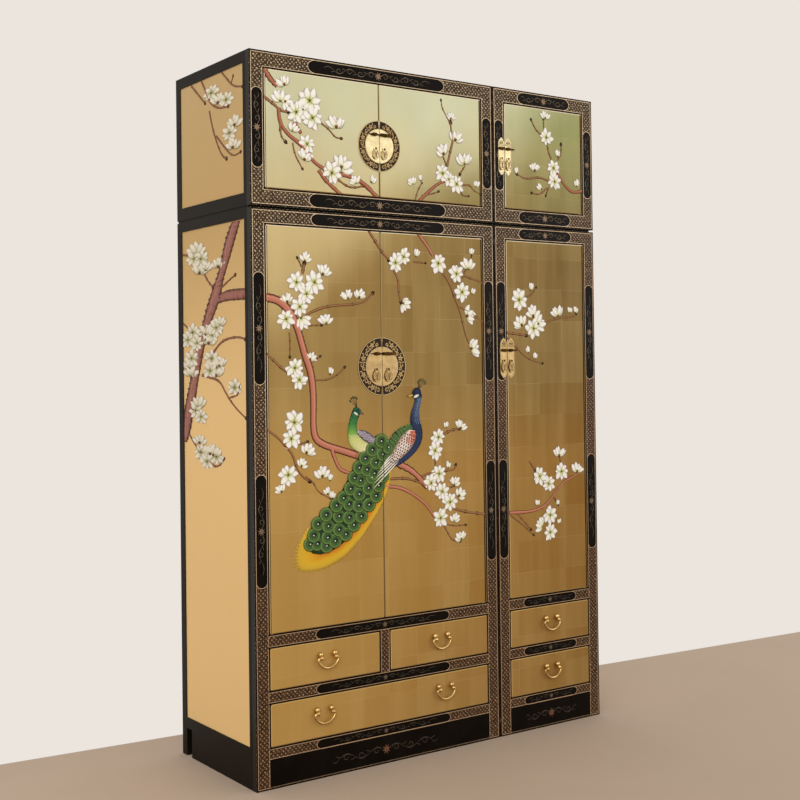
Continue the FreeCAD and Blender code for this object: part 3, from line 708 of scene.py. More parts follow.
def leftwards(ways):
    """Vectors turned a quarter to the left: minus up, then across."""
    return np.stack([-ways[..., 1], ways[..., 0]], axis=-1)


def tube_faces(rings, around, count, joined=False):
    """Quads between each ring and the next, closing around. A joined tube also closes end to end."""
    steps = rings if joined else rings - 1
    ring = np.arange(steps)[:, None] * around
    following = (np.arange(1, steps + 1) % rings)[:, None] * around
    here = np.arange(around)[None, :]
    beside = (here + 1) % around
    quads = np.stack([ring + here, ring + beside, following + beside, following + here], axis=-1)
    quads = quads.reshape(-1, 4)
    return (quads[None] + (np.arange(count) * rings * around)[:, None, None]).reshape(-1, 4)


def as_tints(colour, count, rings):
    """Spreads one colour, or one for each ring along the mark, over all marks and rings."""
    return np.broadcast_to(np.asarray(colour, dtype=float)[..., :3], (count, rings, 3))


def strokes(paths, widths, heights, core=(0.5, 0.5, 0.5), rim=None, level=0.0, profile=dome, joined=False,
            normals=None):
    """Marks of a brush. A point of the surface is the path, plus the path's normal times half the width
    times the profile's offset, lifted by the height times the profile's rise. The ends are drawn in to
    a point, which closes them. Colour goes from the core in the middle to the rim at the sides."""
    paths = np.asarray(paths, dtype=float)
    if paths.ndim == 2:
        paths = paths[None]
    count, rings = paths.shape[:2]
    halves = np.broadcast_to(np.asarray(widths, dtype=float), (count, rings)) / 2
    rises = np.broadcast_to(np.asarray(heights, dtype=float), (count, rings))
    cores = as_tints(core, count, rings)
    rims = cores if rim is None else as_tints(rim, count, rings)
    levels = np.broadcast_to(np.asarray(level, dtype=float).reshape(-1, 1), (count, 1))
    if joined:
        along = np.roll(paths, -1, axis=1) - np.roll(paths, 1, axis=1)
    else:
        along = np.gradient(paths, axis=1)
    along = unit(along)
    if not joined:
        def pad(values):
            return np.concatenate([values[:, :1], values, values[:, -1:]], axis=1)
        paths, along, cores, rims = pad(paths), pad(along), pad(cores), pad(rims)
        shut = np.ones(rings + 2)
        shut[[0, -1]] = 0.0
        halves, rises = pad(halves) * shut, pad(rises) * shut
        rings += 2
    normal = leftwards(along) if normals is None else pad(normals)
    across, rise, edge = (np.array(profile[key]) for key in ("across", "rise", "rim"))
    flat = paths[:, :, None] + normal[:, :, None] * (halves[..., None] * across)[..., None]
    lifted = levels[..., None] + rises[..., None] * rise
    points = np.concatenate([flat, lifted[..., None]], axis=-1)
    tints = cores[:, :, None] + (rims - cores)[:, :, None] * edge[:, None]
    return points.reshape(-1, 3), tube_faces(rings, len(across), count, joined), tints.reshape(-1, 3)


print("a stroke of two points has", len(strokes([(0, 0), (1, 0)], 0.1, 0.1)[1]), "faces")

# %% [markdown]
# A plate is built of rings that shrink towards the middle, each at its own height and with its own colour.
# Several marks become one piece by joining their arrays.

# %% Plates
def plates(centres, outlines, fractions, rises, colours, level=0.0):
    """Low plates. Each ring is the centre plus a fraction of the outline, lifted by the ring's rise. The
    first ring shrinks to the middle of the top, the last to the middle of the flat back."""
    centres = np.asarray(centres, dtype=float).reshape(-1, 1, 1, 2)
    count = len(centres)
    outlines = np.asarray(outlines, dtype=float)
    outlines = np.broadcast_to(outlines, (count, *outlines.shape[-2:]))
    around = outlines.shape[1]
    share = np.array([0.0, *fractions, 0.0])
    lift = np.array([rises[0], *rises, 0.0])
    flat = centres + share[None, :, None, None] * outlines[:, None]
    levels = np.asarray(level, dtype=float).reshape(-1, 1, 1)
    lifted = np.broadcast_to(levels + lift[None, :, None], flat.shape[:3])
    points = np.concatenate([flat, lifted[..., None]], axis=-1)
    colours = np.asarray(colours, dtype=float)[..., :3]
    if colours.ndim == 2:
        colours = np.broadcast_to(colours, (count, *colours.shape))
    ring_tints = np.concatenate([colours[:, :1], colours, colours[:, -1:]], axis=1)
    tints = np.broadcast_to(ring_tints[:, :, None], (count, len(share), around, 3))
    return points.reshape(-1, 3), tube_faces(len(share), around, count), tints.reshape(-1, 3)


def combine(shapes):
    """Joins several point, face and tint arrays into one, shifting the face numbers."""
    starts = np.cumsum([0] + [len(points) for points, _, _ in shapes[:-1]])
    faces = np.concatenate([faces + start for (_, faces, _), start in zip(shapes, starts)])
    return np.concatenate([s[0] for s in shapes]), faces, np.concatenate([s[2] for s in shapes])


square = np.array([(1.0, 1.0), (-1.0, 1.0), (-1.0, -1.0), (1.0, -1.0)])
print("a square plate of one ring has", len(plates((0, 0), square, [1.0], [0.1], [(1, 1, 1)])[1]), "faces")

# %% [markdown]
# Marks are worked out flat and then stood up against the front. Where a painting runs off a board it is
# cut there, as a sheet of paper would be trimmed.

# %% Put a shape on the wardrobe
weld_distance = 2e-6


def on_board(points):
    """Relief coordinates to the front of the wardrobe: across, up, and out towards the viewer."""
    return np.stack([points[:, 0], front - points[:, 2], points[:, 1]], axis=-1)


def make_piece(name, shape, material, body, place=on_board, smooth=True, window=None):
    """Puts a combined shape into one mesh with its tints. A window cuts it off at four sides of the
    board it lies on. Doubles at the drawn-in ends are merged and the faces turned outwards."""
    points, faces, tints = shape
    mesh = bpy.data.meshes.new(name)
    mesh.from_pydata(place(points).tolist(), [], faces.tolist())
    layer = mesh.attributes.new("tint", "FLOAT_COLOR", "POINT")
    layer.data.foreach_set("color", np.hstack([tints, np.ones((len(tints), 1))]).ravel())
    work = bmesh.new()
    work.from_mesh(mesh)
    bmesh.ops.remove_doubles(work, verts=work.verts, dist=weld_distance)
    for corner, way in window or []:
        everything = [*work.verts, *work.edges, *work.faces]
        cut = bmesh.ops.bisect_plane(work, geom=everything, plane_co=corner, plane_no=way, clear_outer=True)
        edges = [item for item in cut["geom_cut"] if isinstance(item, bmesh.types.BMEdge)]
        bmesh.ops.holes_fill(work, edges=edges)
    bmesh.ops.recalc_face_normals(work, faces=work.faces)
    work.to_mesh(mesh)
    work.free()
    mesh.shade_smooth() if smooth else mesh.shade_flat()
    mesh.materials.append(material)
    piece = bpy.data.objects.new(name, mesh)
    scene.collection.objects.link(piece)
    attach(piece, body)
    print(name, "faces:", len(mesh.polygons))
    return piece


print("the front plane is at", round(front, 4))

# %% [markdown]
# ## Gold lines and black bands
#
# On the real frame the decorator leaves a black band along every edge and rules a fine gold line beside
# it. Ruled lines could be painted by the material, but then each line would need its own numbers there.
# As low relief they follow from the openings, so a changed cabinet brings its lines along.

# %% Where the openings are
door_gap = 0.002


def opening_of(*fronts):
    """The opening that a set of doors or drawer fronts fills: their joint box, wider by the gap."""
    lows, highs = zip(*(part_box(name) for name in fronts))
    return (min(low[0] for low in lows) - door_gap, min(low[2] for low in lows) - door_gap,
            max(high[0] for high in highs) + door_gap, max(high[2] for high in highs) + door_gap)


cabinets = {
    "lower_left": [opening_of("lower_left_door", "lower_right_door"), opening_of("small_left_drawer_front"),
                   opening_of("small_right_drawer_front"), opening_of("wide_drawer_front")],
    "lower_right": [opening_of("lower_single_door"), opening_of("right_upper_drawer_front"),
                    opening_of("right_lower_drawer_front")],
    "upper_left": [opening_of("upper_left_door", "upper_right_door")],
    "upper_right": [opening_of("upper_single_door")],
}


def outer_edge(cabinet):
    """The frame's own outline on the front plane."""
    low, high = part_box(cabinet + "_face_frame")
    return low[0], low[2], high[0], high[2]


def rectangle_bars(left, low, right, high, inset):
    """Four straight bars inside a rectangle, each from corner to corner, moved in by the inset."""
    a0, b0, a1, b1 = left + inset, low + inset, right - inset, high - inset
    corners = np.array([[a0, b0], [a1, b0], [a1, b1], [a0, b1]])
    return np.stack([corners, np.roll(corners, -1, axis=0)], axis=1)


print({name: len(openings) for name, openings in cabinets.items()}, "openings")

# %% [markdown]
# The bands lie flat and the lines stand a little higher, as a line drawn with thick gold size does. At
# the corners both are drawn out by half their width, so that they meet.

# %% Rule the lines
edge_band = 0.0055
opening_band = 0.004
line_width = 0.0020
band_rise = 0.00025
line_rise = 0.0005
ink = paint(12, 10, 8)
gold_paint = paint(200, 170, 128)


def lengthened(bars, extra):
    """Bars drawn out at both ends, so that the corners fill."""
    way = unit(bars[:, 1] - bars[:, 0])
    return np.stack([bars[:, 0] - way * extra, bars[:, 1] + way * extra], axis=1)


def ruled_lines(cabinet):
    """The black bands and gold lines of one frame, and the ties that carry the lines over the rails."""
    left, low, right, high = outer_edge(cabinet)
    openings = cabinets[cabinet]
    bands = [rectangle_bars(left, low, right, high, edge_band / 2)]
    lines = [rectangle_bars(left, low, right, high, edge_band + line_width / 2)]
    for hole in openings:
        bands.append(rectangle_bars(*hole, -opening_band / 2))
        lines.append(rectangle_bars(*hole, -opening_band - line_width / 2))
    rule = opening_band + line_width / 2
    door_left, _, door_right, _ = openings[0]
    heights = sorted({value for hole in openings for value in (hole[1], hole[3])})
    ties = []
    for lower, upper in zip([low, *heights[1::2]], heights[0::2]):
        if cabinet.startswith("lower"):
            for across in (door_left - rule, door_right + rule):
                ties.append([(across, max(lower, low + edge_band)), (across, upper)])
    if cabinet == "lower_left":
        first, second = openings[1], openings[2]
        for height in (first[1] - rule, first[3] + rule):
            ties.append([(first[2], height), (second[0], height)])
    if ties:
        lines.append(np.array(ties))
    bands, lines = np.concatenate(bands), np.concatenate(lines)
    band = strokes(lengthened(bands, opening_band / 2), opening_band * 1.02, band_rise, ink, profile=slab)
    line = strokes(lengthened(lines, line_width / 2), line_width, line_rise, gold_paint, profile=slab)
    make_piece(cabinet + "_black_bands", band, deep_black, "root", smooth=False)
    make_piece(cabinet + "_gold_lines", line, line_gold, "root", smooth=False)


for cabinet in cabinets:
    ruled_lines(cabinet)

# %% [markdown]
# The edge of a real door is rounded over and catches the light. A narrow strip of gold along each edge
# paints that highlight, and darker gold the shade on the other edges, without a change to the door itself.

# %% Painted highlights and shade along the edges of doors and drawers
arris_width = 0.0026
arris_rise = 0.0002
edge_highlight_low, edge_highlight_high, edge_shade_gold = paint(206, 170, 104), paint(244, 230, 198), paint(150, 118, 66)
seam_highlight = np.array([paint(186, 168, 118)[:3], paint(128, 98, 54)[:3]])
lit_from, lit_over = 0.9, 1.1


def arris(name, body):
    """A fine line just inside the edges of a door or drawer front, on its rounded edge: a painted highlight on
    the left and upper sides, stronger higher up, and painted shade in darker gold on the right and lower
    sides. On the seam between the doors of a pair the highlight stays quiet."""
    low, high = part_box(name)
    bars = rectangle_bars(low[0], low[2], high[0], high[2], arris_width / 2)
    # Painted highlight: it grows with height on the upper and left edges; the others are in painted shade.
    shares = np.clip((bars[..., 1] - lit_from) / lit_over, 0.0, 1.0)[..., None]
    bright = np.array(edge_highlight_low[:3]) + (np.array(edge_highlight_high[:3]) - edge_highlight_low[:3]) * shares
    colours = np.where(np.array([False, False, True, True])[:, None, None], bright, edge_shade_gold[:3])
    if name.endswith("right_door"):
        colours[3] = seam_highlight
    shape = strokes(lengthened(bars, arris_width / 2), arris_width, arris_rise, colours, profile=slab)
    make_piece(name + "_arris", shape, body_paint, body, smooth=False)


for name in nodes:
    if name.endswith("_door"):
        arris(name, name)
    elif name.endswith("_drawer_front"):
        arris(name, name[:-6])

# %% [markdown]
# ## Black cartouches with gold scrolls
#
# Each stile and rail has long black fields with round ends, and in each a thin vine scrolls out from a
# small flower. The vine is a sine wave, a spiral curls into every bend, and one long tendril ends it.
# It is drawn once in the cartouche's own coordinates and then laid along a stile or a rail.

# %% Outlines with round ends
def round_ended(half_long, half_wide, corner, count=64, drawn=1.0):
    """An outline with rounded corners: the corner's centre plus the corner radius in each direction. The
    corner can be drawn out lengthwise."""
    angle = (np.arange(count) + 0.5) / count * 2 * np.pi
    corner_a = np.sign(np.cos(angle)) * (half_long - drawn * corner)
    corner_b = np.sign(np.sin(angle)) * (half_wide - corner)
    return np.stack([corner_a + drawn * corner * np.cos(angle), corner_b + corner * np.sin(angle)], axis=-1)


print("an outline has", len(round_ended(2.0, 1.0, 0.5)), "points")

# %% [markdown]
# A vine is drawn with a fine brush in three kinds of strokes: the stem, a curl in each bend, and a short
# leaf where one bend meets the next. A row of such bends gets denser or looser with the bend's length.

# %% The course of a vine
def vine_paths(half_long, half_wide, bend, samples=26):
    """One half of a scroll. The stem is half a sine wave in each bend, to one side and then the other. A
    curl runs round the bend's middle while its radius shrinks, and a short leaf stands off its end."""
    bends = max(2, int(round(0.6 * half_long / bend)))
    start = 0.35 * half_wide
    t = np.linspace(0.0, 1.0, samples)
    swing = 0.5 * half_wide
    paths = []
    for index in range(bends):
        side = 1 if index % 2 == 0 else -1
        begin = start + index * bend
        stem = np.stack([begin + t * bend, side * swing * np.sin(np.pi * t)], axis=-1)
        turn = np.pi * (1.0 - 2.3 * t)
        radius = 0.5 * half_wide * (1.0 - 0.72 * t)
        curl = np.stack([begin + 0.5 * bend + 1.25 * radius * np.cos(turn),
                         side * (0.02 * half_wide + radius * np.sin(turn))], axis=-1)
        leaf_root = np.array([begin + 0.9 * bend, side * 0.2 * swing])
        lift = side * (0.5 * half_wide * t - 0.2 * half_wide * t * t)
        paths += [stem, curl, leaf_root + np.stack([t * 0.34 * bend, lift], axis=-1)]
    end = start + bends * bend
    reach = max(half_long * 0.78 - end, bend * 0.4)
    way = 1 if bends % 2 == 0 else -1
    tendril = np.stack([end + t * reach, way * 0.4 * half_wide * np.sin(np.pi * 0.9 * t)], axis=-1)
    return np.array(paths + [tendril])


print("one half of a scroll has", len(vine_paths(0.28, 0.02, 0.042)), "strokes")

# %% [markdown]
# The flower in the middle is two wheels of petals, the smaller one turned by half a petal. The colours of
# scrolls near the floor are dimmed by height.

# %% The flower and the whole scroll
vine_green = paint(98, 86, 70)
vine_gold = paint(148, 128, 102)
flower_gold = paint(170, 138, 108)
flower_red = paint(188, 112, 74)
half_petal_turn = np.array([[0.92, 0.38], [-0.38, 0.92]])


def petal_profile(samples, fullness=0.75):
    """Widths along a petal from 0 to 1: a sine arch, lifted by a power so that the sides bulge."""
    t = np.linspace(0.0, 1.0, samples)
    return np.sin(np.pi * t ** 0.85) ** fullness


def rosette(centre, radius, petals, samples=7):
    """Straight petal paths from near the centre out to the radius, at even angles."""
    angle = np.arange(petals) / petals * 2 * np.pi + 0.2
    t = np.linspace(0.12, 1.0, samples)
    return np.asarray(centre) + headings(angle)[:, None] * (radius * t)[None, :, None]


def turned(points, centre, upright):
    """Cartouche coordinates to the board: lengthwise runs across a rail or up a stile."""
    return np.asarray(centre) + (points[..., ::-1] if upright else points)


def scroll_work(half_long, half_wide, centre, upright, bend, flower, level):
    """Both halves of the vine with its flower, as strokes on the board. Lower ones are dimmer."""
    one = vine_paths(half_long, half_wide, bend)
    both = np.concatenate([one, one * np.array([-1.0, 1.0])])
    t = np.linspace(0.0, 1.0, both.shape[1])
    width = np.minimum(0.0013, 0.07 * half_wide) * (0.5 + np.sin(np.pi * t) * 0.8)
    size = 0.72 * half_wide
    petals = rosette((0.0, 0.0), size, 8)
    inner = rosette((0.0, 0.0), size * 0.6, 8) @ half_petal_turn
    spread = petal_profile(7)
    dim = 0.45 + 0.55 * np.clip((centre[1] - 0.3) / 1.5, 0.0, 1.0)
    vine, vine_edge, bloom = (np.array(tone[:3]) * dim for tone in (vine_green, vine_gold, flower))
    return [
        strokes(turned(both, centre, upright), width, 0.0004, vine, vine_edge, level),
        strokes(turned(petals, centre, upright), spread * size * 0.22, 0.0004, bloom, vine, level),
        strokes(turned(inner, centre, upright), spread * size * 0.14, 0.0006, vine_edge, bloom, level),
    ]


print("widths along a petal:", np.round(petal_profile(7), 2))

# %% [markdown]
# A frame has a cartouche on every rail: above its doors, below them, and round each row of drawers. Its
# stiles have one each beside the low doors and two beside the tall ones. A field reaches from one ruled
# line to the next, and the cartouche fills its width.

# %% Lay out the cartouches
outer_rule = edge_band + line_width
inner_rule = opening_band + line_width
plate_rise = 0.0003
plinth_height = 0.0985
rail_halves = {("upper", "left"): 0.286, ("upper", "right"): 0.131,
               ("lower", "left"): 0.280, ("lower", "right"): 0.133}


def field_between(first_edge, second_edge):
    """Centre and half width of the field between two edges that already allow for their lines."""
    return (first_edge + second_edge) / 2, abs(second_edge - first_edge) / 2


def cartouche_plan(cabinet):
    """Every cartouche of one frame as (centre, half length, half width, upright)."""
    left, low, right, high = outer_edge(cabinet)
    openings = cabinets[cabinet]
    door = openings[0]
    middle = (door[0] + door[2]) / 2
    rail_half = rail_halves[tuple(cabinet.split("_"))]
    rails = [field_between(door[3] + inner_rule, high - outer_rule)]
    if cabinet.startswith("upper"):
        rails.append(field_between(low + outer_rule, door[1] - inner_rule))
        stile_spots, stile_half = [(door[1] + door[3]) / 2], 0.131
    else:
        tops = sorted({hole[3] for hole in openings[1:]})
        floors = sorted({hole[1] for hole in openings[1:]})
        rails.append(field_between(tops[-1] + inner_rule, door[1] - inner_rule))
        rails.append(field_between(tops[0] + inner_rule, floors[-1] - inner_rule))
        rails.append(field_between(low + plinth_height, floors[0] - inner_rule))
        half_way = (door[1] + door[3]) / 2
        stile_spots, stile_half = [half_way + 0.327, half_way - 0.331], 0.183
    plan = [((middle, height), rail_half, half, False) for height, half in rails]
    stiles = [(left + outer_rule, door[0] - inner_rule), (door[2] + inner_rule, right - outer_rule)]
    for spot, half in (field_between(*edges) for edges in stiles):
        plan += [((spot, height), stile_half, half, True) for height in stile_spots]
    return plan


print({cabinet: len(cartouche_plan(cabinet)) for cabinet in cabinets}, "cartouches")

# %% [markdown]
# The black field is a plate, its outline a ruled line that follows the ends round, and the scroll lies on
# the plate. Along the rails the round ends are drawn out half as long again.

# %% Make the cartouches
vine_bend = 0.044


def make_cartouches(cabinet):
    """Black plates, their gold outlines and the scrolls on them."""
    grounds, outlines, scrolls = [], [], []
    for centre, half_long, half_wide, upright in cartouche_plan(cabinet):
        drawn = 1.0 if upright else 1.5
        shape = round_ended(half_long, half_wide + 0.0006, half_wide, drawn=drawn)
        board_shape = turned(shape, (0.0, 0.0), upright)
        grounds.append(plates([centre], board_shape, [0.985, 1.0], [plate_rise, plate_rise], [ink, ink]))
        rim = round_ended(half_long, half_wide + line_width / 2, half_wide, drawn=drawn)
        outlines.append(strokes(turned(rim, centre, upright), line_width, line_rise + 0.0001, gold_paint,
                                profile=slab, joined=True))
        scrolls += scroll_work(half_long, half_wide, centre, upright, vine_bend, flower_gold, plate_rise)
    ground, line = combine(grounds), combine(outlines)
    make_piece(cabinet + "_cartouches", ground, deep_black, "root", smooth=False)
    make_piece(cabinet + "_cartouche_lines", line, line_gold, "root", smooth=False)
    make_piece(cabinet + "_scrolls", combine(scrolls), body_paint, "root")


for cabinet in cabinets:
    make_cartouches(cabinet)

# %% [markdown]
# The plinth board is plain black with a larger scroll round a red flower. Its lines stop at the stiles.

# %% The plinths
floor_line = 0.007
plinth_scroll_width = 0.025


def make_plinth(cabinet, scroll_half, bend):
    """A black board below the lowest rail, with a gold line near the floor and a larger scroll."""
    left, low, right, _ = outer_edge(cabinet)
    door = cabinets[cabinet][0]
    a0, a1 = door[0] - opening_band, door[2] + opening_band
    top = low + plinth_height
    centre = ((a0 + a1) / 2, (low + top) / 2)
    half_long, half_wide = (a1 - a0) / 2, (top - low) / 2
    board = round_ended(half_long, half_wide, 0.0005)
    ground = plates([centre], board, [0.998, 1.0], [plate_rise, plate_rise], [ink, ink])
    rules = [[(a0, height), (a1, height)] for height in (low + floor_line, top)]
    line = strokes(rules, line_width, line_rise, gold_paint, profile=slab)
    work = scroll_work(scroll_half, plinth_scroll_width, centre, False, bend, flower_red, plate_rise)
    make_piece(cabinet + "_plinth_ground", ground, deep_black, "root", smooth=False)
    make_piece(cabinet + "_plinth_lines", line, line_gold, "root", smooth=False)
    make_piece(cabinet + "_plinth_scroll", combine(work), body_paint, "root")


make_plinth("lower_left", 0.27, 0.062)
make_plinth("lower_right", 0.13, 0.05)

# %% [markdown]
# ## Latches and their ornament
#
# A roundel is a brass plate whose rim is blacked and chased with curls and small flowers. The pin that
# locks the doors runs through two turned knuckles. The rim could be an image wrapped round the plate.
# Here one curl and one flower are drawn flat, repeated, and bent round the rim by turning a distance
# along the rim into an angle. The knuckles are lathe work: a radius that changes along the pin's line.

# %% Curls, and a strip bent round a rim
# Painted highlight and shade of the chasing: light along the tops of the strokes, deep at their sides.
chased_highlight = paint(188, 160, 108)
chased_deep = paint(126, 96, 56)
rim_light = paint(238, 216, 160)


def bent(points, centre, radius):
    """Rim coordinates to the board: the distance along the rim over the radius is the angle."""
    angle = points[..., 0] / radius
    reach = radius + points[..., 1]
    return np.stack([centre[0] + reach * np.sin(angle), centre[1] + reach * np.cos(angle)], axis=-1)


def spiral(centre, size, turns, start, hand=1, samples=18):
    """A curl: the radius falls evenly from the size to a fifth of it while the angle runs on."""
    t = np.linspace(0.0, 1.0, samples)
    angle = start + hand * turns * 2 * np.pi * t
    radius = size * (1.0 - 0.8 * t)
    return np.stack([centre[0] + radius * np.cos(angle), centre[1] + radius * np.sin(angle)], axis=-1)


print("a curl runs through", len(spiral((0.0, 0.0), 1.0, 1.0, 0.0)), "points")

# %% [markdown]
# The rim's ground is blacked metal between two beads. Every second repeat is a flower, the others are a
# pair of curls, and a forked leaf parts them. Repeats that would run over the seam are left out.

# %% Chase the rims
rim_black = paint(44, 28, 14)
rim_samples, curl_samples = 60, 18
rim_repeats = 9
seam_space = 0.0025
bead_width, bead_rise = 0.0022, 0.0009
curl_steps = np.linspace(0.0, 1.0, curl_samples)
swell = 0.35 + 0.65 * np.sin(np.pi * np.linspace(0.08, 0.97, curl_samples))


def rim_unit(place, half_wide, kind):
    """One repeat of the rim: a pair of curls with a leaf, or a small open flower with leaves."""
    if kind == 0:
        first = spiral((place - 0.30 * half_wide, 0.05 * half_wide), 0.62 * half_wide, 1.15, 2.6)
        second = spiral((place + 0.55 * half_wide, -0.25 * half_wide), 0.45 * half_wide, 1.0, -0.6, -1)
        return [first, second], [0.36 * half_wide, 0.32 * half_wide]
    petals = rosette((place, 0.0), 0.72 * half_wide, 5, curl_samples)
    return list(petals), [0.54 * half_wide] * 5


def rim_ornament(name, centre, radius, inner, side, body):
    """Half of a roundel's rim: a black ground, a bead at each edge, and the chased repeats."""
    middle = (radius + inner) / 2
    half_wide = (radius - inner) / 2 - 0.0016
    length = np.pi * middle - seam_space
    along = np.linspace(seam_space * side, length * side, rim_samples)

    def course(height):
        """A line round the rim at one distance from its middle."""
        return bent(np.stack([along, np.full(rim_samples, height)], axis=-1), centre, middle)

    ground = strokes(course(0.0), 2 * half_wide + 0.0008, 0.0003, rim_black, level=plate_front, profile=slab)
    beads = [strokes(course(edge), bead_width, bead_rise, rim_light, chased_deep, plate_front)
             for edge in (half_wide + 0.0006, -half_wide - 0.0006)]
    paths, widths = [], []
    pitch = np.pi * middle / rim_repeats
    for index in range(rim_repeats):
        unit, size = rim_unit((index + 0.5) * pitch, half_wide, index % 2)
        forks = [np.stack([(index + 1.0) * pitch + fork * 0.1 * half_wide + 0.0 * curl_steps,
                           fork * half_wide * (0.12 + 0.72 * curl_steps)], axis=-1) for fork in (-1.0, 1.0)]
        paths += unit + forks
        widths += size + [0.42 * half_wide] * 2
    paths = np.array(paths) * np.array([side, 1.0])
    reach = np.abs(paths[..., 0])
    keep = (reach.min(axis=1) > seam_space) & (reach.max(axis=1) < length)
    paths, widths = paths[keep], np.array(widths)[keep]
    work = strokes(bent(paths, centre, middle), widths[:, None] * swell, 0.0008, chased_highlight, chased_deep,
                   plate_front + 0.0003)
    make_piece(name + "_rim_ground", ground, body_paint, body, smooth=False)
    make_piece(name + "_rim_beads", combine(beads), body_paint, body)
    make_piece(name + "_rim_chasing", work, chased_brass, body)


roundels = {}
for level, boss in (("upper", 0.058), ("lower", 0.066)):
    left_low, left_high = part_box(level + "_roundel_left")
    right_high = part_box(level + "_roundel_right")[1]
    centre = ((left_low[0] + right_high[0]) / 2, (left_low[2] + left_high[2]) / 2)
    radius = (right_high[0] - left_low[0]) / 2
    roundels[level] = (centre, radius, boss)
    rim_ornament(level + "_roundel_left", centre, radius, boss, -1, level + "_left_door")
    rim_ornament(level + "_roundel_right", centre, radius, boss, 1, level + "_right_door")
    print(level, "roundel at", np.round(centre, 4), "radius", round(radius, 4))

# %% [markdown]
# The knuckles on the roundel are cast, turned and bored, and the pin runs through the bore. Here a turned
# part is a list of places and radii swept round the pin's line, with its underside flat on the plate.

# %% Turned work
bore_radius = 0.0028


def lathe(line, start, profile, floor, around=20, bore=None):
    """Turned work along x. The profile gives pairs of place and radius; each pair is swept round the
    line, and whatever would sink below the floor under it is flattened onto that floor. A bore runs in
    from the start to its depth, so that a pin can slide there; a full bore comes out at the far end."""
    if bore:
        inner = [(bore, 1e-5)] if bore < profile[-1][0] else []
        profile = [*profile, *inner, (bore, bore_radius), (profile[0][0], bore_radius)]
    else:
        profile = [(profile[0][0], 0.0), *profile, (profile[-1][0], 0.0)]
    place, radius = np.array(profile, dtype=float).T
    place = place + start
    angle = np.arange(around) / around * 2 * np.pi
    y = line[0] + radius[:, None] * np.cos(angle)
    z = line[1] + radius[:, None] * np.sin(angle)
    y = np.minimum(y, floor)
    x = np.broadcast_to(place[:, None], y.shape)
    points = np.stack([x, y, z], axis=-1).reshape(-1, 3)
    return points, tube_faces(len(place), around, 1, bool(bore)), np.tile(chased_highlight[:3], (len(points), 1))


def as_it_is(points):
    """Points that are already in the wardrobe's own coordinates."""
    return points


knuckle_sizes = [(0.00, 0.62), (0.04, 0.80), (0.10, 0.82), (0.14, 0.60), (0.22, 0.72), (0.36, 0.96),
                 (0.50, 1.00), (0.64, 0.96), (0.78, 0.72), (0.86, 0.60), (0.90, 0.82), (0.96, 0.80),
                 (1.00, 0.62)]
tail_sizes = [(0.3, 0.66), (0.7, 0.5), (0.92, 0.3), (1.0, 0.1)]


def knuckle_profile(length, girth, tail=0.0):
    """Radii of one knuckle: a bead, a swelling in the middle, a bead, and on request a tapered tail."""
    made = [(share * length, size * girth) for share, size in knuckle_sizes]
    if tail:
        made += [(length + tail * share, size * girth) for share, size in tail_sizes]
    return made


print("a knuckle has", len(knuckle_profile(0.016, 0.0068)), "turned places")

# %% [markdown]
# On a roundel the pin's guide sits left of the seam and its keeper right of it. The keeper starts with a
# collar and ends in a long tail. The turned pin takes the place of the plain one in the construction.

# %% Knuckles and pins of the roundels
seat_rise = 0.0004
knuckle_length, knuckle_girth = 0.016, 0.0068
collar = [(0.0, 0.0052), (0.004, 0.0056), (0.010, 0.0046)]
keeper_shape = collar + [(0.012 + place, size)
                         for place, size in knuckle_profile(knuckle_length, knuckle_girth, 0.0175)]
pin_shape = [(0.0, 0.0004), (0.001, 0.0013), (0.0035, 0.0018), (0.005, 0.0014), (0.0065, 0.0021),
             (0.009, 0.00245), (0.0436, 0.0025), (0.044, 0.0022)]
for level in ("upper", "lower"):
    low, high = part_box(level + "_roundel_pin")
    line = ((low[1] + high[1]) / 2, (low[2] + high[2]) / 2)
    seam = roundels[level][0][0]
    floor = front - boss_front + seat_rise
    guide = lathe(line, seam - 0.030, knuckle_profile(knuckle_length, knuckle_girth), floor,
                  bore=knuckle_length)
    keeper = lathe(line, seam + 0.0028, keeper_shape, floor, bore=0.0205)
    for name, shape, door in (("guide", guide, "_left_door"), ("keeper", keeper, "_right_door")):
        make_piece(f"{level}_{name}_knuckle", shape, aged_brass, level + door, as_it_is)
    pin = make_piece(level + "_turned_pin", lathe(line, low[0], pin_shape, front), aged_brass,
                     level + "_roundel_pin", as_it_is)
    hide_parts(level + "_roundel_pin")

# %% [markdown]
# The leaf plates have the same pair of knuckles, a little smaller. The guide is on the door and the longer
# keeper on the stile, two gaps and the pin's own clearance away.

# %% Knuckles of the leaf plates
guide_length, keeper_length, leaf_girth = 0.0152, 0.024, 0.0064
keeper_clearance = (0.002, 0.002, 0.003)
for level in ("upper", "lower"):
    low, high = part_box(level + "_leaf_pin")
    line = ((low[1] + high[1]) / 2, (low[2] + high[2]) / 2)
    floor = front - plate_front + seat_rise
    guide = lathe(line, low[0] + 0.006 - 0.0006, knuckle_profile(guide_length, leaf_girth), floor,
                  bore=guide_length)
    keeper_start = low[0] - keeper_clearance[0] - keeper_clearance[1] - keeper_clearance[2] - keeper_length
    keeper = lathe(line, keeper_start, knuckle_profile(keeper_length, leaf_girth), floor, bore=keeper_length)
    make_piece(level + "_leaf_guide_knuckle", guide, aged_brass, level + "_single_door", as_it_is)
    make_piece(level + "_leaf_keeper_knuckle", keeper, aged_brass, "root", as_it_is)

# %% [markdown]
# Drops and leaf plates are chased with the same curls. On a drop they face each other inside a raised
# edge; a hanging drop has its stud near the top, so its oval sits a little below the middle.

# %% Chase the drops
drop_tone = paint(206, 178, 118)
drop_shade = paint(78, 58, 24)
drop_curls = ((-0.42, 0.36, 1.2), (0.12, 0.30, -1.2), (0.5, 0.2, 0.4))
plume_swell = 0.4 + 0.6 * np.sin(np.pi * np.linspace(0.08, 0.95, curl_samples))


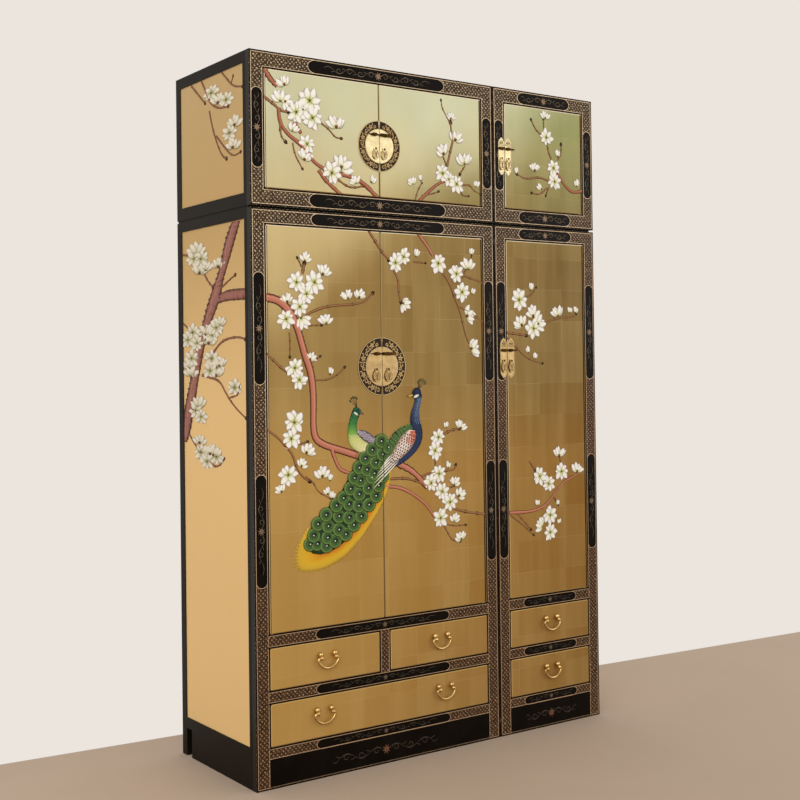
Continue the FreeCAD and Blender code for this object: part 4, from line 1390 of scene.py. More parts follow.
def chased_oval(low, high, body, name, tone, shade):
    """A raised edge round a hanging drop and two mirrored curls with a leaf between them."""
    centre = ((low[0] + high[0]) / 2, low[2] + 0.44 * (high[2] - low[2]))
    half_a, half_b = (high[0] - low[0]) / 2, 0.44 * (high[2] - low[2])
    level = front - low[1]
    angle = np.arange(44) / 44 * 2 * np.pi
    edge = np.stack([np.cos(angle) * (half_a - 0.0014), np.sin(angle) * (half_b - 0.0014)], axis=-1)
    rim = strokes((centre + edge)[None], 0.0016, 0.0007, tone, shade, level, joined=True)
    paths = [spiral((hand * 0.42 * half_a, lift * half_b), size * half_a * 1.25, 1.1,
                    start * hand + np.pi * (hand < 0), hand)
             for hand in (-1, 1) for lift, size, start in drop_curls]
    rise = half_b * (-0.72 + 1.3 * curl_steps)
    paths += [np.stack([sway * half_a * np.sin(np.pi * curl_steps), rise], axis=-1)
              for sway in (-0.16, 0.0, 0.16)]
    work = strokes(centre + np.array(paths), 0.0019 * plume_swell, 0.0005, shade, tone, level)
    make_piece(name + "_chasing", combine([rim, work]), chased_brass, body)


for name in [name for name in nodes if name.endswith("_drop")]:
    chased_oval(*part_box(name), name, name, drop_tone, drop_shade)

# %% [markdown]
# A leaf plate is a tall hexagon. Its border follows the outline, flat where the pin passes over it, and a
# plume fills the upper half. The stile's plate gets the mirror place of the door's, one gap away.

# %% Chase the leaf plates
shoulder, inset = 0.022, 0.0019


def chase_leaf(low, high, body, name, pin_height):
    """A leaf plate's engraving: a fine border that dips under the pin, and a plume of curls above it."""
    middle = (low[0] + high[0]) / 2
    half = (high[0] - low[0]) / 2
    outline = np.array([[-half, low[2] + shoulder], [0.0, low[2]], [half, low[2] + shoulder],
                        [half, high[2] - shoulder], [0.0, high[2]], [-half, high[2] - shoulder]])
    outline[:, 0] *= (half - inset) / half
    outline[1, 1] += inset * 1.6
    outline[4, 1] -= inset * 1.6
    ring = np.concatenate([outline, outline[:1]])
    spaced = np.linspace(0.0, 1.0, 49)[:-1, None]
    path = np.concatenate([ring[i] + spaced * (ring[i + 1] - ring[i]) for i in range(6)]) + [middle, 0.0]
    rises = np.where(np.abs(path[:, 1] - pin_height) < 0.006, 0.0001, 0.0005)
    border = strokes(path[None], 0.0011, rises, rim_light, chased_deep, plate_front, joined=True)
    top = (middle, (high[2] + pin_height) / 2 - 0.002)
    tall = (high[2] - pin_height) / 2 - 0.006
    paths = []
    for hand in (-1, 1):
        paths.append(spiral((hand * 0.42 * half, -0.30 * tall), 0.36 * half, 1.15, np.pi / 2, -hand))
        paths.append(spiral((hand * 0.30 * half, 0.18 * tall), 0.26 * half, 1.1, -np.pi / 2, hand))
        bow = hand * half * 0.4 * np.sin(np.pi * curl_steps)
        paths.append(np.stack([bow, tall * (-0.1 + 0.95 * curl_steps)], axis=-1))
    paths.append(np.stack([0.0 * curl_steps, tall * (-0.7 + 1.6 * curl_steps)], axis=-1))
    work = strokes(np.array(paths) + top, 0.0021 * plume_swell, 0.0004, drop_shade, chased_deep, plate_front)
    make_piece(name + "_chasing", combine([border, work]), chased_brass, body)


for level in ("upper", "lower"):
    low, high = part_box(level + "_door_leaf")
    pin_low, pin_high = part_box(level + "_leaf_pin")
    height = (pin_low[2] + pin_high[2]) / 2
    chase_leaf(low, high, level + "_single_door", level + "_door_leaf", height)
    stile_low = (low[0] - door_gap - (high[0] - low[0]), low[1], low[2])
    stile_high = (low[0] - door_gap, high[1], high[2])
    chase_leaf(stile_low, stile_high, "root", level + "_stile_leaf", height)

# %% [markdown]
# ## The painting
#
# Blossom branches and a pair of peafowl are the common subject of such cabinets, and each workshop paints
# them afresh. The paint stands a little proud of the leaf, so every mark here is a low stroke or plate.
# Places are read off enlarged pieces of the photograph and cast back onto the board they lie on. A mark
# that crosses from one door to the next is cut at the seam, so each door carries its own share of it.
#
# Courses and spots are read on enlarged pieces. A piece is named by its corner on the picture and by how
# many times it is enlarged, so a place on it is the corner plus the point divided by the enlargement.

# %% From a place on the picture to the board
def read_off(points, crop):
    """Points read on an enlarged piece of the picture: its corner plus the point over the enlargement."""
    left, top, enlargement = crop
    return np.asarray(points, dtype=float)[..., :2] / enlargement + (left, top)


def pixel_size(lay, pixels):
    """The height on the board of one pixel of the picture, at each point."""
    return np.abs(lay(pixels + (0.0, 0.5)) - lay(pixels - (0.0, 0.5)))[..., 1]


def rounded(points, samples=48):
    """A smooth path: corners are cut at a quarter of each side, four times over, and the result is
    spaced evenly by its own length."""
    path = np.asarray(points, dtype=float)
    for _ in range(4):
        pairs = np.stack([0.75 * path[:-1] + 0.25 * path[1:], 0.25 * path[:-1] + 0.75 * path[1:]], axis=1)
        path = np.concatenate([path[:1], pairs.reshape(-1, 2), path[-1:]])
    steps = np.concatenate([[0.0], np.cumsum(np.linalg.norm(np.diff(path, axis=0), axis=1))])
    even = np.linspace(0.0, steps[-1], samples)
    return np.stack([np.interp(even, steps, path[:, 0]), np.interp(even, steps, path[:, 1])], axis=-1)


def ramp(samples, stops):
    """Colours between stops, each a place from 0 to 1 with its colour."""
    colours = np.array([paint(*colour)[:3] for colour in stops.values()])
    t = np.linspace(0.0, 1.0, samples)
    return np.stack([np.interp(t, list(stops), colours[:, part]) for part in range(3)], axis=-1)


def left_normal(path):
    """Unit vectors to the left of the way a path runs."""
    return leftwards(unit(np.gradient(path, axis=0)))


print("a course of three points becomes", len(rounded([(0, 0), (1, 0), (1, 1)])), "points")

# %% [markdown]
# A painter lays a branch in with one loaded stroke, lights its upper side, and sets knots and ticks of
# bark with the tip of the brush. Thick limbs are reddish, twigs brown, and those of the sides faded.

# %% Branches
def bark_tones(core, rim, light, tick):
    """The four colours of a branch: its middle, its edge, its lit stripe and its knots."""
    return {"core": paint(*core), "rim": paint(*rim), "light": paint(*light), "tick": paint(*tick)}


bark = bark_tones((196, 122, 96), (84, 36, 26), (208, 140, 114), (52, 24, 16))
twig = bark_tones((146, 98, 60), (78, 50, 28), (182, 134, 92), (48, 32, 16))
high_bark = bark_tones((170, 98, 70), (78, 34, 24), (196, 130, 98), (48, 22, 14))
side_bark = bark_tones((158, 102, 88), (98, 56, 44), (178, 124, 108), (74, 40, 30))
side_twig = bark_tones((134, 86, 58), (92, 54, 36), (158, 106, 76), (78, 44, 28))


def limb(points, crop, lay, start, end, tones=twig, seed=1, level=0.0):
    """A branch: a stroke whose width goes from the start to the end size and swells a little at random,
    a lit stripe on its upper side, and on a thick one dark ticks of bark along both edges."""
    pixels = read_off(points, crop)
    path = rounded(lay(pixels))
    t = np.linspace(0.0, 1.0, len(path))
    rng = np.random.default_rng(seed)
    pixel = pixel_size(lay, pixels).mean() / crop[2] * 1.1
    swell = 1.0 + np.interp(t, np.linspace(0.0, 1.0, 13), rng.uniform(-0.13, 0.13, 13))
    width = (start + (end - start) * t) * pixel * swell
    normal = left_normal(path)
    upward = np.sign(normal[:, 1].sum() - 0.4 * normal[:, 0].sum()) or 1.0
    height = np.minimum(0.0016, 0.3 * width)
    marks = [strokes(path, width, height, tones["core"], tones["rim"], level)]
    if start < 20:
        knots = np.array([len(path) // 3, 2 * len(path) // 3, len(path) - 1])
        way = unit(np.gradient(path, axis=0)[knots])
        bud = width[knots] * (0.7, 0.7, 1.15)
        reach = way[:, None] * (bud[:, None] * np.linspace(-1.1, 1.6, 5))[..., None]
        marks.append(strokes(path[knots][:, None] + reach, 2.0 * bud[:, None] * petal_profile(5, 0.6), 0.0014,
                             tones["tick"], level=level + 0.0001))
    if start > 9:
        lit = path + normal * (upward * 0.16 * width)[:, None]
        marks.append(strokes(lit, 0.26 * width, 0.00025, tones["light"], tones["core"],
                             level + height.max() * 0.9))
    if start > 20:
        count = int(32 * start / 20)
        place = rng.integers(1, len(path) - 1, count)
        side = rng.choice([-1.0, 1.0], count)
        root = path[place] + normal[place] * (side * 0.40 * width[place])[:, None]
        reach = normal[place] * (side * rng.uniform(0.08, 0.2, count) * width[place])[:, None]
        ticks = np.stack([root, root + reach / 2, root + reach], axis=1)
        marks.append(strokes(ticks, [[pixel * 3.2, pixel * 3.2, pixel * 1.6]], 0.0006, tones["tick"],
                             level=level + 0.0010))
    return combine(marks)


def branches(rows, crop, lay, seed, thick=bark, thin=twig):
    """Limbs from rows of the size at the start, the size at the end and the points between them."""
    return [limb(points, crop, lay, start * 1.15, end * 1.15, thick if start > 17 else thin,
                 seed * 100 + number)
            for number, (start, end, *points) in enumerate(rows)]


print("a branch has the colours", list(bark))

# %% [markdown]
# A petal is one pressed stroke, green at its root and white beyond, with a thin grey edge. Open flowers
# have eight, those seen from the side five over a brown cup, and buds three. Petals overlap, so each lies
# a hair higher or lower than its neighbour.

# %% Blossom
petal_samples = 7
white_petal = ramp(petal_samples, {0.0: (168, 176, 84), 0.14: (222, 222, 160), 0.32: (248, 246, 228),
                                   0.75: (254, 252, 246), 1.0: (252, 248, 240)})
petal_edge = ramp(petal_samples, {0.0: (120, 124, 60), 0.4: (190, 182, 160), 1.0: (176, 166, 162)})
faded_petal = ramp(petal_samples, {0.0: (160, 158, 96), 0.4: (228, 220, 196), 1.0: (238, 232, 216)})
faded_edge = ramp(petal_samples, {0.0: (128, 118, 76), 1.0: (200, 186, 156)})
sepal_brown = paint(104, 56, 34)
stamen_dark = paint(74, 66, 24)
stamen_light = paint(176, 166, 60)
bloom_petals = {0: (8, 360.0, 0.06, 1.16, 0.7),
                1: (5, 118.0, -0.55, 1.6, 0.62),
                2: (3, 44.0, -0.85, 1.9, 0.62)}


def petals_of(kind, spot, size, lean, rng, level, petal, edge):
    """The petals of all flowers of one kind, and the base that they leave. Each runs out from its base by
    its length and bows a little aside; angles, lengths, bows and widths vary at random."""
    count, spread, setback, stretch, fullness = bloom_petals[kind]
    t = np.linspace(0.0, 1.0, petal_samples)
    if kind == 0:
        angle = lean[:, None] + np.arange(count) / count * 2 * np.pi
    else:
        angle = lean[:, None] + np.radians(np.linspace(-spread / 2, spread / 2, count))
    angle = angle + rng.uniform(-0.13, 0.13, angle.shape)
    length = size[:, None] * stretch * rng.uniform(0.84, 1.1, angle.shape)
    way = headings(angle)
    base = spot + headings(lean) * (size * setback)[:, None] * (kind > 0)
    start = 0.08 * size[:, None] * (kind == 0)
    reach = start[..., None] + t * (length - start)[..., None]
    bow = (rng.uniform(-0.1, 0.1, angle.shape) * length)[..., None] * np.sin(np.pi * t)
    paths = base[:, None, None] + way[:, :, None] * reach[..., None]
    paths = paths + leftwards(way)[:, :, None] * bow[..., None]
    full = (fullness * length * rng.uniform(0.9, 1.12, angle.shape))[..., None]
    widths = full * petal_profile(petal_samples, 0.6)
    order = (np.arange(count) % 2) * 0.0003 + rng.permutation(len(spot))[:, None] * 0.00004
    flat = len(spot) * count
    return base, strokes(paths.reshape(flat, petal_samples, 2), widths.reshape(flat, petal_samples), 0.0007,
                         petal, edge, (level + np.broadcast_to(order, angle.shape)).ravel())


def hearts_of(spot, size, rng, level):
    """The middles of open flowers: five stamens at even angles and a dark disc over them."""
    turn = rng.uniform(0.0, 6.0, len(spot))[:, None] + np.arange(5) / 5 * 2 * np.pi
    ray = headings(turn) * (0.34 * size)[:, None, None]
    hairs = spot[:, None, None] + ray[:, :, None] * np.linspace(0.1, 1.0, 4)[:, None]
    disc = round_ended(1.0, 1.0, 1.0, 10) * (0.13 * size)[:, None, None]
    return [strokes(hairs.reshape(-1, 4, 2), 0.0016, 0.0004, stamen_light, stamen_dark, level + 0.0011),
            plates(spot, disc, [0.5, 1.0], [0.0005, 0.0002], [stamen_dark, stamen_light], level + 0.0013)]


def cups_of(base, size, lean, level):
    """The brown cups of flowers seen from the side: three short strokes that fan out from just behind
    the petals' base."""
    turn = lean[:, None] + np.radians([155.0, 180.0, 205.0])
    ray = headings(turn + np.pi) * (0.5 * size)[:, None, None]
    root = base - headings(lean) * (0.1 * size)[:, None]
    paths = root[:, None, None] + ray[:, :, None] * np.linspace(0.0, 1.0, 5)[:, None]
    widths = (0.3 * size)[:, None, None] * np.array([0.5, 1.0, 0.9, 0.6, 0.2])
    widths = np.broadcast_to(widths, (len(base), 3, 5)).reshape(-1, 5)
    return [strokes(paths.reshape(-1, 5, 2), widths, 0.0006, sepal_brown, level=level + 0.0006)]


def blooms(rows, crop, lay, seed, level=0.0008, petal=white_petal, edge=petal_edge, wide=1.0):
    """Flowers from rows of x, y, radius, kind and lean. Kind 0 is open and seen from the front, 1 is seen
    from the side and 2 is a bud. The petals of a flower leave its base at even angles round its lean. A
    wide flower is drawn narrow and then spread across."""
    rows = np.array([(*row, 90.0)[:5] for row in rows])
    rng = np.random.default_rng(seed)
    pixels = read_off(rows, crop)
    places = lay(pixels) / (wide, 1.0)
    sizes = rows[:, 2] / crop[2] * pixel_size(lay, pixels)
    marks = []
    for kind in bloom_petals:
        chosen = np.flatnonzero(rows[:, 3] == kind)
        if not len(chosen):
            continue
        spot, size, lean = places[chosen], sizes[chosen], np.radians(rows[chosen, 4])
        base, petals = petals_of(kind, spot, size, lean, rng, level, petal, edge)
        inner = hearts_of(spot, size, rng, level) if kind == 0 else cups_of(base, size, lean, level)
        marks += [petals, *inner]
    points, faces, tints = combine(marks)
    points[:, 0] *= wide
    return points, faces, tints


print("kinds of flower and their petals:", {kind: row[0] for kind, row in bloom_petals.items()})

# %% [markdown]
# The decorator paints over closed doors and then cuts along the seams. The same is done here: every mark
# of a subject is laid over all the doors, and each door keeps what lies on it.

# %% Lay a painting over the doors
seam_margin = 0.0003
turning_reach = 0.028
turning_share = 0.25


def paint_doors(subject, marks, doors):
    """Lays one painting over several doors: the faces that reach a door are cut at its edges, and what is
    left is a piece of its own that rides on that door. Near the hinge the paint is thin, because an open
    door turns that edge past the frame."""
    points, faces, tints = combine(marks)
    for door in doors:
        low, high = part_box(door)
        across, up = points[:, 0], points[:, 1]
        inside = (across > low[0]) & (across < high[0]) & (up > low[2]) & (up < high[2])
        kept = faces[inside[faces].any(axis=1)]
        if not len(kept):
            continue
        used, renumbered = np.unique(kept, return_inverse=True)
        corner = points[used]
        hinge, way = (low[0], 1.0) if door.endswith("left_door") else (high[0], -1.0)
        ease = np.clip((way * (corner[:, 0] - hinge) - turning_reach) / turning_reach, 0.0, 1.0)
        corner[:, 2] *= turning_share + (1.0 - turning_share) * ease
        edges = [(corner[:, 0].min() < low[0], (low[0] + seam_margin, 0, 0), (-1, 0, 0)),
                 (corner[:, 0].max() > high[0], (high[0] - seam_margin, 0, 0), (1, 0, 0)),
                 (corner[:, 1].min() < low[2], (0, 0, low[2] + seam_margin), (0, 0, -1)),
                 (corner[:, 1].max() > high[2], (0, 0, high[2] - seam_margin), (0, 0, 1))]
        window = [(place, way) for crossed, place, way in edges if crossed]
        shape = (corner, renumbered.reshape(kept.shape), tints[used])
        make_piece(door + "_" + subject, shape, body_paint, door, window=window)


print("marks stay", seam_margin * 1000, "mm off the seams")

# %% [markdown]
# On the upper doors one branch hangs from the left corner and one rises from the foot of the right door
# into the narrow cabinet. A row below gives a limb's size at both ends and the places it passes. A row
# of blossom gives a flower's place, size, kind and lean.

# %% Blossom on the upper doors
upper_left_crop = (160, 30, 6.03)
upper_right_crop = (400, 60, 7.127)
a, b = upper_left_crop, upper_right_crop
upper_doors = ["upper_left_door", "upper_right_door", "upper_single_door"]
upper_limbs = [
    *branches([
        (30, 22, (625, 225), (660, 290), (705, 340)),
        (17, 11, (625, 400), (690, 450), (730, 490), (770, 492)),
        (20, 20, (712, 470), (722, 560), (770, 630), (850, 690), (890, 745), (930, 800), (1000, 845)),
        (20, 19, (955, 845), (1000, 910), (1055, 960), (1110, 1010)),
        (20, 23, (1080, 868), (1150, 885), (1225, 920), (1310, 1010)),
        (12, 9, (1070, 900), (1130, 945), (1180, 952), (1225, 940)),
        (12, 8, (722, 560), (728, 640), (755, 672)), (9, 7, (800, 680), (812, 750), (858, 835)),
        (20, 16, (810, 555), (850, 625)), (10, 7, (970, 560), (1020, 600), (1055, 648), (1090, 654)),
    ], a, on_front, 1, high_bark),
    *branches([
        (22, 15, (125, 1020), (190, 950), (270, 880), (320, 865)),
        (9, 6, (106, 1010), (125, 930), (155, 880)), (9, 7, (155, 965), (230, 955), (272, 938)),
        (17, 11, (335, 760), (360, 640), (378, 580), (366, 520), (360, 450)),
        (8, 7, (365, 470), (330, 400), (298, 340), (292, 288)), (10, 8, (302, 680), (330, 745)),
        (9, 8, (462, 755), (428, 812)), (11, 7, (445, 892), (500, 890), (522, 930), (572, 957)),
        (9, 7, (428, 935), (450, 970), (486, 970)),
        (20, 13, (1312, 928), (1260, 945), (1215, 940), (1165, 885), (1118, 800)),
        (11, 9, (1080, 710), (1058, 660), (1046, 590)),
        (13, 8, (1055, 860), (985, 832), (900, 852), (835, 815)), (8, 7, (1024, 500), (1022, 425)),
        (10, 8, (1005, 535), (962, 490), (935, 428)), (9, 8, (1125, 715), (1150, 660), (1147, 606)),
        (8, 7, (1060, 905), (1040, 965)), (9, 7, (1045, 915), (995, 962), (940, 948)),
    ], b, on_front, 2, high_bark),
]
upper_blooms = [
    blooms([
        (740, 312, 40, 1, 120), (720, 400, 50, 1, 100), (765, 440, 36, 1, 330), (820, 495, 66, 0, 80),
        (900, 425, 72, 0, 60), (918, 530, 64, 0, 20), (860, 480, 50, 0, 0), (1058, 562, 50, 1, 100),
        (802, 592, 36, 1, 70), (885, 688, 50, 0, 40), (872, 762, 42, 1, 80), (1035, 862, 62, 0, 70),
        (1102, 806, 54, 1, 60), (1172, 908, 34, 1, 120), (1282, 902, 26, 2, 60),
    ], a, on_front, 31),
    blooms([
        (302, 648, 52, 1, 110), (398, 548, 52, 1, 70), (455, 712, 54, 1, 95), (302, 808, 58, 0, 90),
        (345, 850, 48, 0, 20), (402, 884, 60, 0, 60), (82, 868, 32, 1, 120), (146, 842, 25, 2, 100),
        (545, 884, 26, 2, 70), (362, 402, 34, 1, 85), (1040, 552, 58, 0, 90), (1092, 772, 54, 0, 60),
        (1100, 868, 52, 0, 10), (958, 768, 44, 1, 90), (1032, 398, 34, 1, 90), (1120, 668, 28, 2, 100),
        (994, 906, 28, 2, 140), (828, 790, 24, 2, 120), (1258, 880, 28, 2, 90),
    ], b, on_front, 32),
]
paint_doors("blossom", upper_limbs + upper_blooms, upper_doors)

# %% [markdown]
# The tall doors carry the main subject: one heavy limb comes down the left door and turns across the pair,
# and a second group of twigs enters from the right. The branches come first, the blossom is laid on them.

# %% Branches on the lower doors
left_crop = (160, 190, 6.533)
left_low_crop = (160, 420, 6.533)
right_crop = (360, 200, 6.03)
right_low_crop = (380, 420, 6.533)
a, b, c, d = left_crop, left_low_crop, right_crop, right_low_crop
lower_limbs = [
    *branches([
        (50, 38, (685, 700), (770, 715), (845, 785), (892, 880), (920, 980), (948, 1085), (985, 1180),
         (1000, 1300), (1003, 1420), (1000, 1540), (1012, 1625), (1060, 1660), (1130, 1685), (1200, 1705),
         (1290, 1735)),
        (15, 9, (938, 832), (1000, 790), (1100, 757), (1250, 748), (1335, 735), (1388, 676)),
        (10, 7, (950, 885), (1052, 884)), (9, 7, (845, 930), (850, 1000), (848, 1088)),
        (17, 11, (930, 548), (942, 482)), (9, 7, (935, 520), (898, 445)),
        (14, 10, (690, 1065), (760, 1130), (800, 1172), (835, 1192)),
        (9, 7, (1012, 1242), (1100, 1242), (1170, 1200), (1204, 1160)), (8, 6, (985, 1130), (1044, 1088)),
    ], a, on_front, 11),
    *branches([
        (24, 15, (1120, 180), (1140, 250), (1170, 320), (1215, 340), (1262, 352)),
        (14, 11, (700, 66), (765, 110), (832, 180), (872, 235), (890, 310), (930, 370), (975, 400)),
        (8, 6, (950, 370), (1000, 400), (1030, 470), (1112, 512)), (9, 7, (905, 160), (962, 142)),
    ], b, on_front, 12),
    *branches([
        (15, 12, (52, 185), (100, 262), (135, 320), (175, 360)),
        (11, 8, (202, 425), (232, 480), (232, 560), (246, 615)),
        (18, 14, (345, 195), (400, 270), (438, 335)),
        (14, 9, (490, 425), (540, 500), (572, 590), (602, 665), (622, 750), (642, 835), (668, 880)),
        (9, 7, (596, 640), (690, 695), (750, 745)), (11, 8, (615, 450), (680, 478), (722, 490), (750, 520)),
        (9, 7, (618, 470), (640, 415)), (8, 6, (322, 372), (392, 380)), (7, 6, (672, 352), (672, 330)),
        (10, 6, (1105, 748), (1160, 720), (1210, 710), (1275, 705), (1302, 690)),
        (13, 9, (880, 800), (935, 806), (1000, 818)),
        (10, 7, (878, 822), (930, 872), (980, 930), (1030, 965), (1098, 984)),
        (8, 6, (1005, 585), (1035, 570), (1060, 530)),
    ], c, on_front, 13),
    *branches([
        (38, 28, (120, 285), (200, 325), (250, 370), (310, 440)),
        (20, 13, (40, 432), (130, 440), (210, 480), (290, 540), (335, 600), (352, 630)),
        (15, 13, (60, 386), (160, 378), (230, 395), (300, 425)),
        (14, 12, (480, 578), (560, 600), (640, 610), (705, 616)),
        (13, 8, (270, 372), (320, 345), (430, 332), (488, 325), (494, 296)),
        (14, 10, (405, 105), (445, 72), (515, 55)), (8, 7, (360, 262), (362, 312)),
        (9, 7, (420, 690), (450, 750), (475, 788), (522, 792)), (8, 6, (430, 680), (490, 692), (558, 685)),
        (9, 7, (455, 442), (484, 430)),
        (18, 8, (845, 606), (940, 602), (1020, 590), (1090, 550), (1140, 480), (1180, 420), (1225, 388),
         (1292, 352)),
        (10, 7, (852, 620), (930, 680), (1002, 748)), (9, 7, (890, 604), (950, 670), (984, 712)),
        (7, 6, (1132, 500), (1162, 552)), (9, 7, (975, 268), (1012, 325)), (8, 7, (1172, 245), (1186, 290)),
    ], d, on_front, 14),
]
print(len(lower_limbs), "limbs on the lower doors")

# %% [markdown]
# Most of the blossom sits in clusters where a twig leaves its limb. Single buds stand at the twigs' ends.

# %% Blossom on the lower doors
lower_blooms = [
    blooms([
        (948, 440, 38, 1, 80), (890, 602, 64, 0, 80), (1008, 602, 66, 0, 60), (1068, 530, 46, 1, 70),
        (955, 678, 60, 0, 20), (826, 712, 42, 1, 100), (912, 762, 60, 0, 50), (822, 842, 62, 0, 110),
        (934, 862, 50, 1, 300), (1082, 848, 46, 1, 95), (1222, 690, 40, 1, 105), (1302, 684, 40, 1, 80),
        (880, 1162, 60, 0, 90), (908, 1240, 58, 0, 60), (986, 1092, 34, 1, 60), (1112, 1182, 28, 2, 85),
        (876, 1518, 68, 0, 90),
    ], a, on_front, 91),
    blooms([
        (856, 122, 62, 0, 70), (964, 196, 44, 1, 60), (930, 286, 34, 1, 60), (836, 358, 62, 0, 95),
        (786, 455, 34, 1, 120), (1058, 348, 44, 1, 95), (1112, 378, 24, 2, 80), (1088, 466, 26, 2, 110),
        (1128, 492, 26, 2, 80),
    ], b, on_front, 92),
    blooms([
        (212, 378, 52, 0, 95), (262, 342, 50, 0, 60), (342, 322, 26, 2, 75), (270, 632, 38, 1, 330),
        (470, 382, 56, 0, 70), (580, 445, 52, 0, 80), (650, 390, 44, 1, 95), (672, 312, 24, 2, 85),
        (614, 555, 54, 0, 40), (682, 552, 20, 2, 60), (660, 696, 44, 1, 10), (688, 890, 46, 1, 15),
        (958, 602, 58, 0, 95), (1030, 524, 24, 2, 85), (1040, 680, 44, 1, 100), (964, 740, 42, 1, 130),
        (1045, 775, 56, 0, 85), (1084, 738, 40, 1, 30), (1185, 676, 40, 1, 110), (1266, 664, 20, 2, 90),
        (1300, 665, 20, 2, 80), (1010, 905, 22, 2, 110), (1056, 942, 20, 2, 80),
    ], c, on_front, 93),
    blooms([
        (380, 112, 54, 0, 90), (358, 200, 58, 0, 60), (432, 32, 22, 2, 90), (530, 36, 38, 1, 70),
        (445, 294, 24, 2, 85), (384, 350, 54, 0, 80), (332, 412, 52, 0, 120), (404, 466, 52, 0, 60),
        (486, 402, 38, 1, 80), (456, 535, 54, 0, 90), (526, 482, 40, 1, 40), (394, 640, 56, 0, 95),
        (488, 642, 34, 1, 70), (526, 762, 36, 1, 100), (1170, 212, 46, 1, 85), (1184, 335, 54, 0, 90),
        (1290, 316, 40, 1, 75), (1042, 366, 54, 0, 110), (1100, 416, 50, 0, 60), (1028, 540, 22, 2, 95),
        (1162, 540, 18, 2, 90), (1110, 620, 52, 0, 85), (1046, 682, 40, 1, 140), (1110, 732, 52, 0, 95),
        (1172, 660, 18, 2, 95),
    ], d, on_front, 94),
]
lower_doors = ["lower_left_door", "lower_right_door", "lower_single_door"]
paint_doors("blossom", lower_limbs + lower_blooms, lower_doors)

# %% [markdown]
# ## The peafowl
#
# A bird in this kind of painting is a few soft bodies with feathers laid over them. A body is a ribbon
# between two edges with a domed section. Feathers are short marks in staggered rows on it, and the eyed
# feathers of the tail are plates that tip up towards their free ends, as slates do on a roof.

# %% Bodies
def edges_of(left, right, crop, lay, samples=24):
    """Both edges of a body as smooth paths on the board."""
    return tuple(rounded(lay(read_off(side, crop)), samples) for side in (left, right))


def ribbon(edges, height, core, rim, level):
    """A body between two edges: each place is the middle of the two, plus a share of half the way from
    one to the other, lifted by the dome's rise."""
    left, right = edges
    half = (left - right) / 2
    size = np.maximum(np.linalg.norm(half, axis=1, keepdims=True), 1e-6)
    return strokes((left + right) / 2, 2 * size[:, 0], height, core, rim, level, normals=(half / size)[None])


birds_crop = (290, 370, 7.467)
hen_level, fringe_level, tail_level, cock_level = 0.0004, 0.0010, 0.0013, 0.0022
body_rise, low_rise = 0.0016, 0.0010


def body(left, right, core, rim, level, rise=body_rise):
    """One feathered body of the pair, from edges read off the picture."""
    edges = edges_of(left, right, birds_crop, on_front)
    return edges, ribbon(edges, rise, core, rim, level)


print("from the hen's back to the cock's:", round((cock_level - hen_level) * 1000, 1), "mm")

# %% [markdown]
# Small feathers follow the body they lie on. Larger oval marks make heads, beaks, eyes and the eyed
# feathers: rings of colour on a low dome, from the middle outwards.

# %% Feathers and oval marks
def on_edge(edge, share):
    """The place at a share of the way along an edge."""
    steps = np.linspace(0.0, 1.0, len(edge))
    return np.stack([np.interp(share, steps, edge[:, 0]), np.interp(share, steps, edge[:, 1])], axis=-1)


def tufts(edges, rows, columns, length, width, core, rim, level, height, span=(0.0, 1.0), across=(0.1, 0.9)):
    """Small feathers in staggered rows on a body. Each lies along the body, at a share of the way from
    one edge to the other, and is lifted by the dome under it."""
    rng = np.random.default_rng(rows * 10 + columns)
    row, column = (part.ravel() for part in np.meshgrid(np.arange(rows), np.arange(columns), indexing="ij"))
    t = span[0] + (span[1] - span[0]) * (row + rng.uniform(0.35, 0.65, row.shape)) / rows
    s = across[0] + (across[1] - across[0]) * (column + 0.25 + 0.5 * (row % 2)) / columns
    left, right = (on_edge(side, t) for side in edges)
    spot = left + (right - left) * s[:, None]
    spine = (edges[0] + edges[1]) / 2
    way = unit(on_edge(spine, t + 0.02) - on_edge(spine, t - 0.02))
    paths = spot[:, None] + way[:, None] * (length * np.linspace(-0.5, 0.5, 5))[None, :, None]
    lift = level + height * np.interp(2 * s - 1, dome["across"][:7], dome["rise"][:7]) - 0.0001
    return strokes(paths, width * petal_profile(5, 0.6), 0.0004, core, rim, lift)


def dabs(rows, crop, lay, colours, rise, level):
    """Oval plates from rows of x, y, half length, half width and lean, with a colour for each ring."""
    rows = np.array(rows, dtype=float)
    pixels = read_off(rows, crop)
    pixel = (pixel_size(lay, pixels) / crop[2])[:, None, None]
    lean = np.radians(rows[:, 4])
    circle = round_ended(1.0, 1.0, 1.0, 16) * rows[:, None, 2:4] * pixel
    turn = np.array([[np.cos(lean), -np.sin(lean)], [np.sin(lean), np.cos(lean)]]).transpose(2, 1, 0)
    shares = np.linspace(1.0, 0.0, len(colours), endpoint=False)[::-1]
    rises = rise * np.sqrt(1.02 - shares ** 2)
    return plates(lay(pixels), circle @ turn, shares, rises, colours, level)


def spots(rows, colours, rise, level):
    """Oval marks of the birds, with colours from the middle outwards."""
    return dabs(rows, birds_crop, on_front, [paint(*colour) for colour in colours], rise, level)


print("an oval mark has", len(spots([(0, 0, 9, 9, 0)], [(0, 0, 0)] * 3, 0.001, 0.0)[1]), "faces")

# %% [markdown]
# The hen stands behind: a neck that goes from green to pale yellow, and a grey wing. Her crest is a fan
# of bare stems with a tuft at each tip, and the cock's is the same.

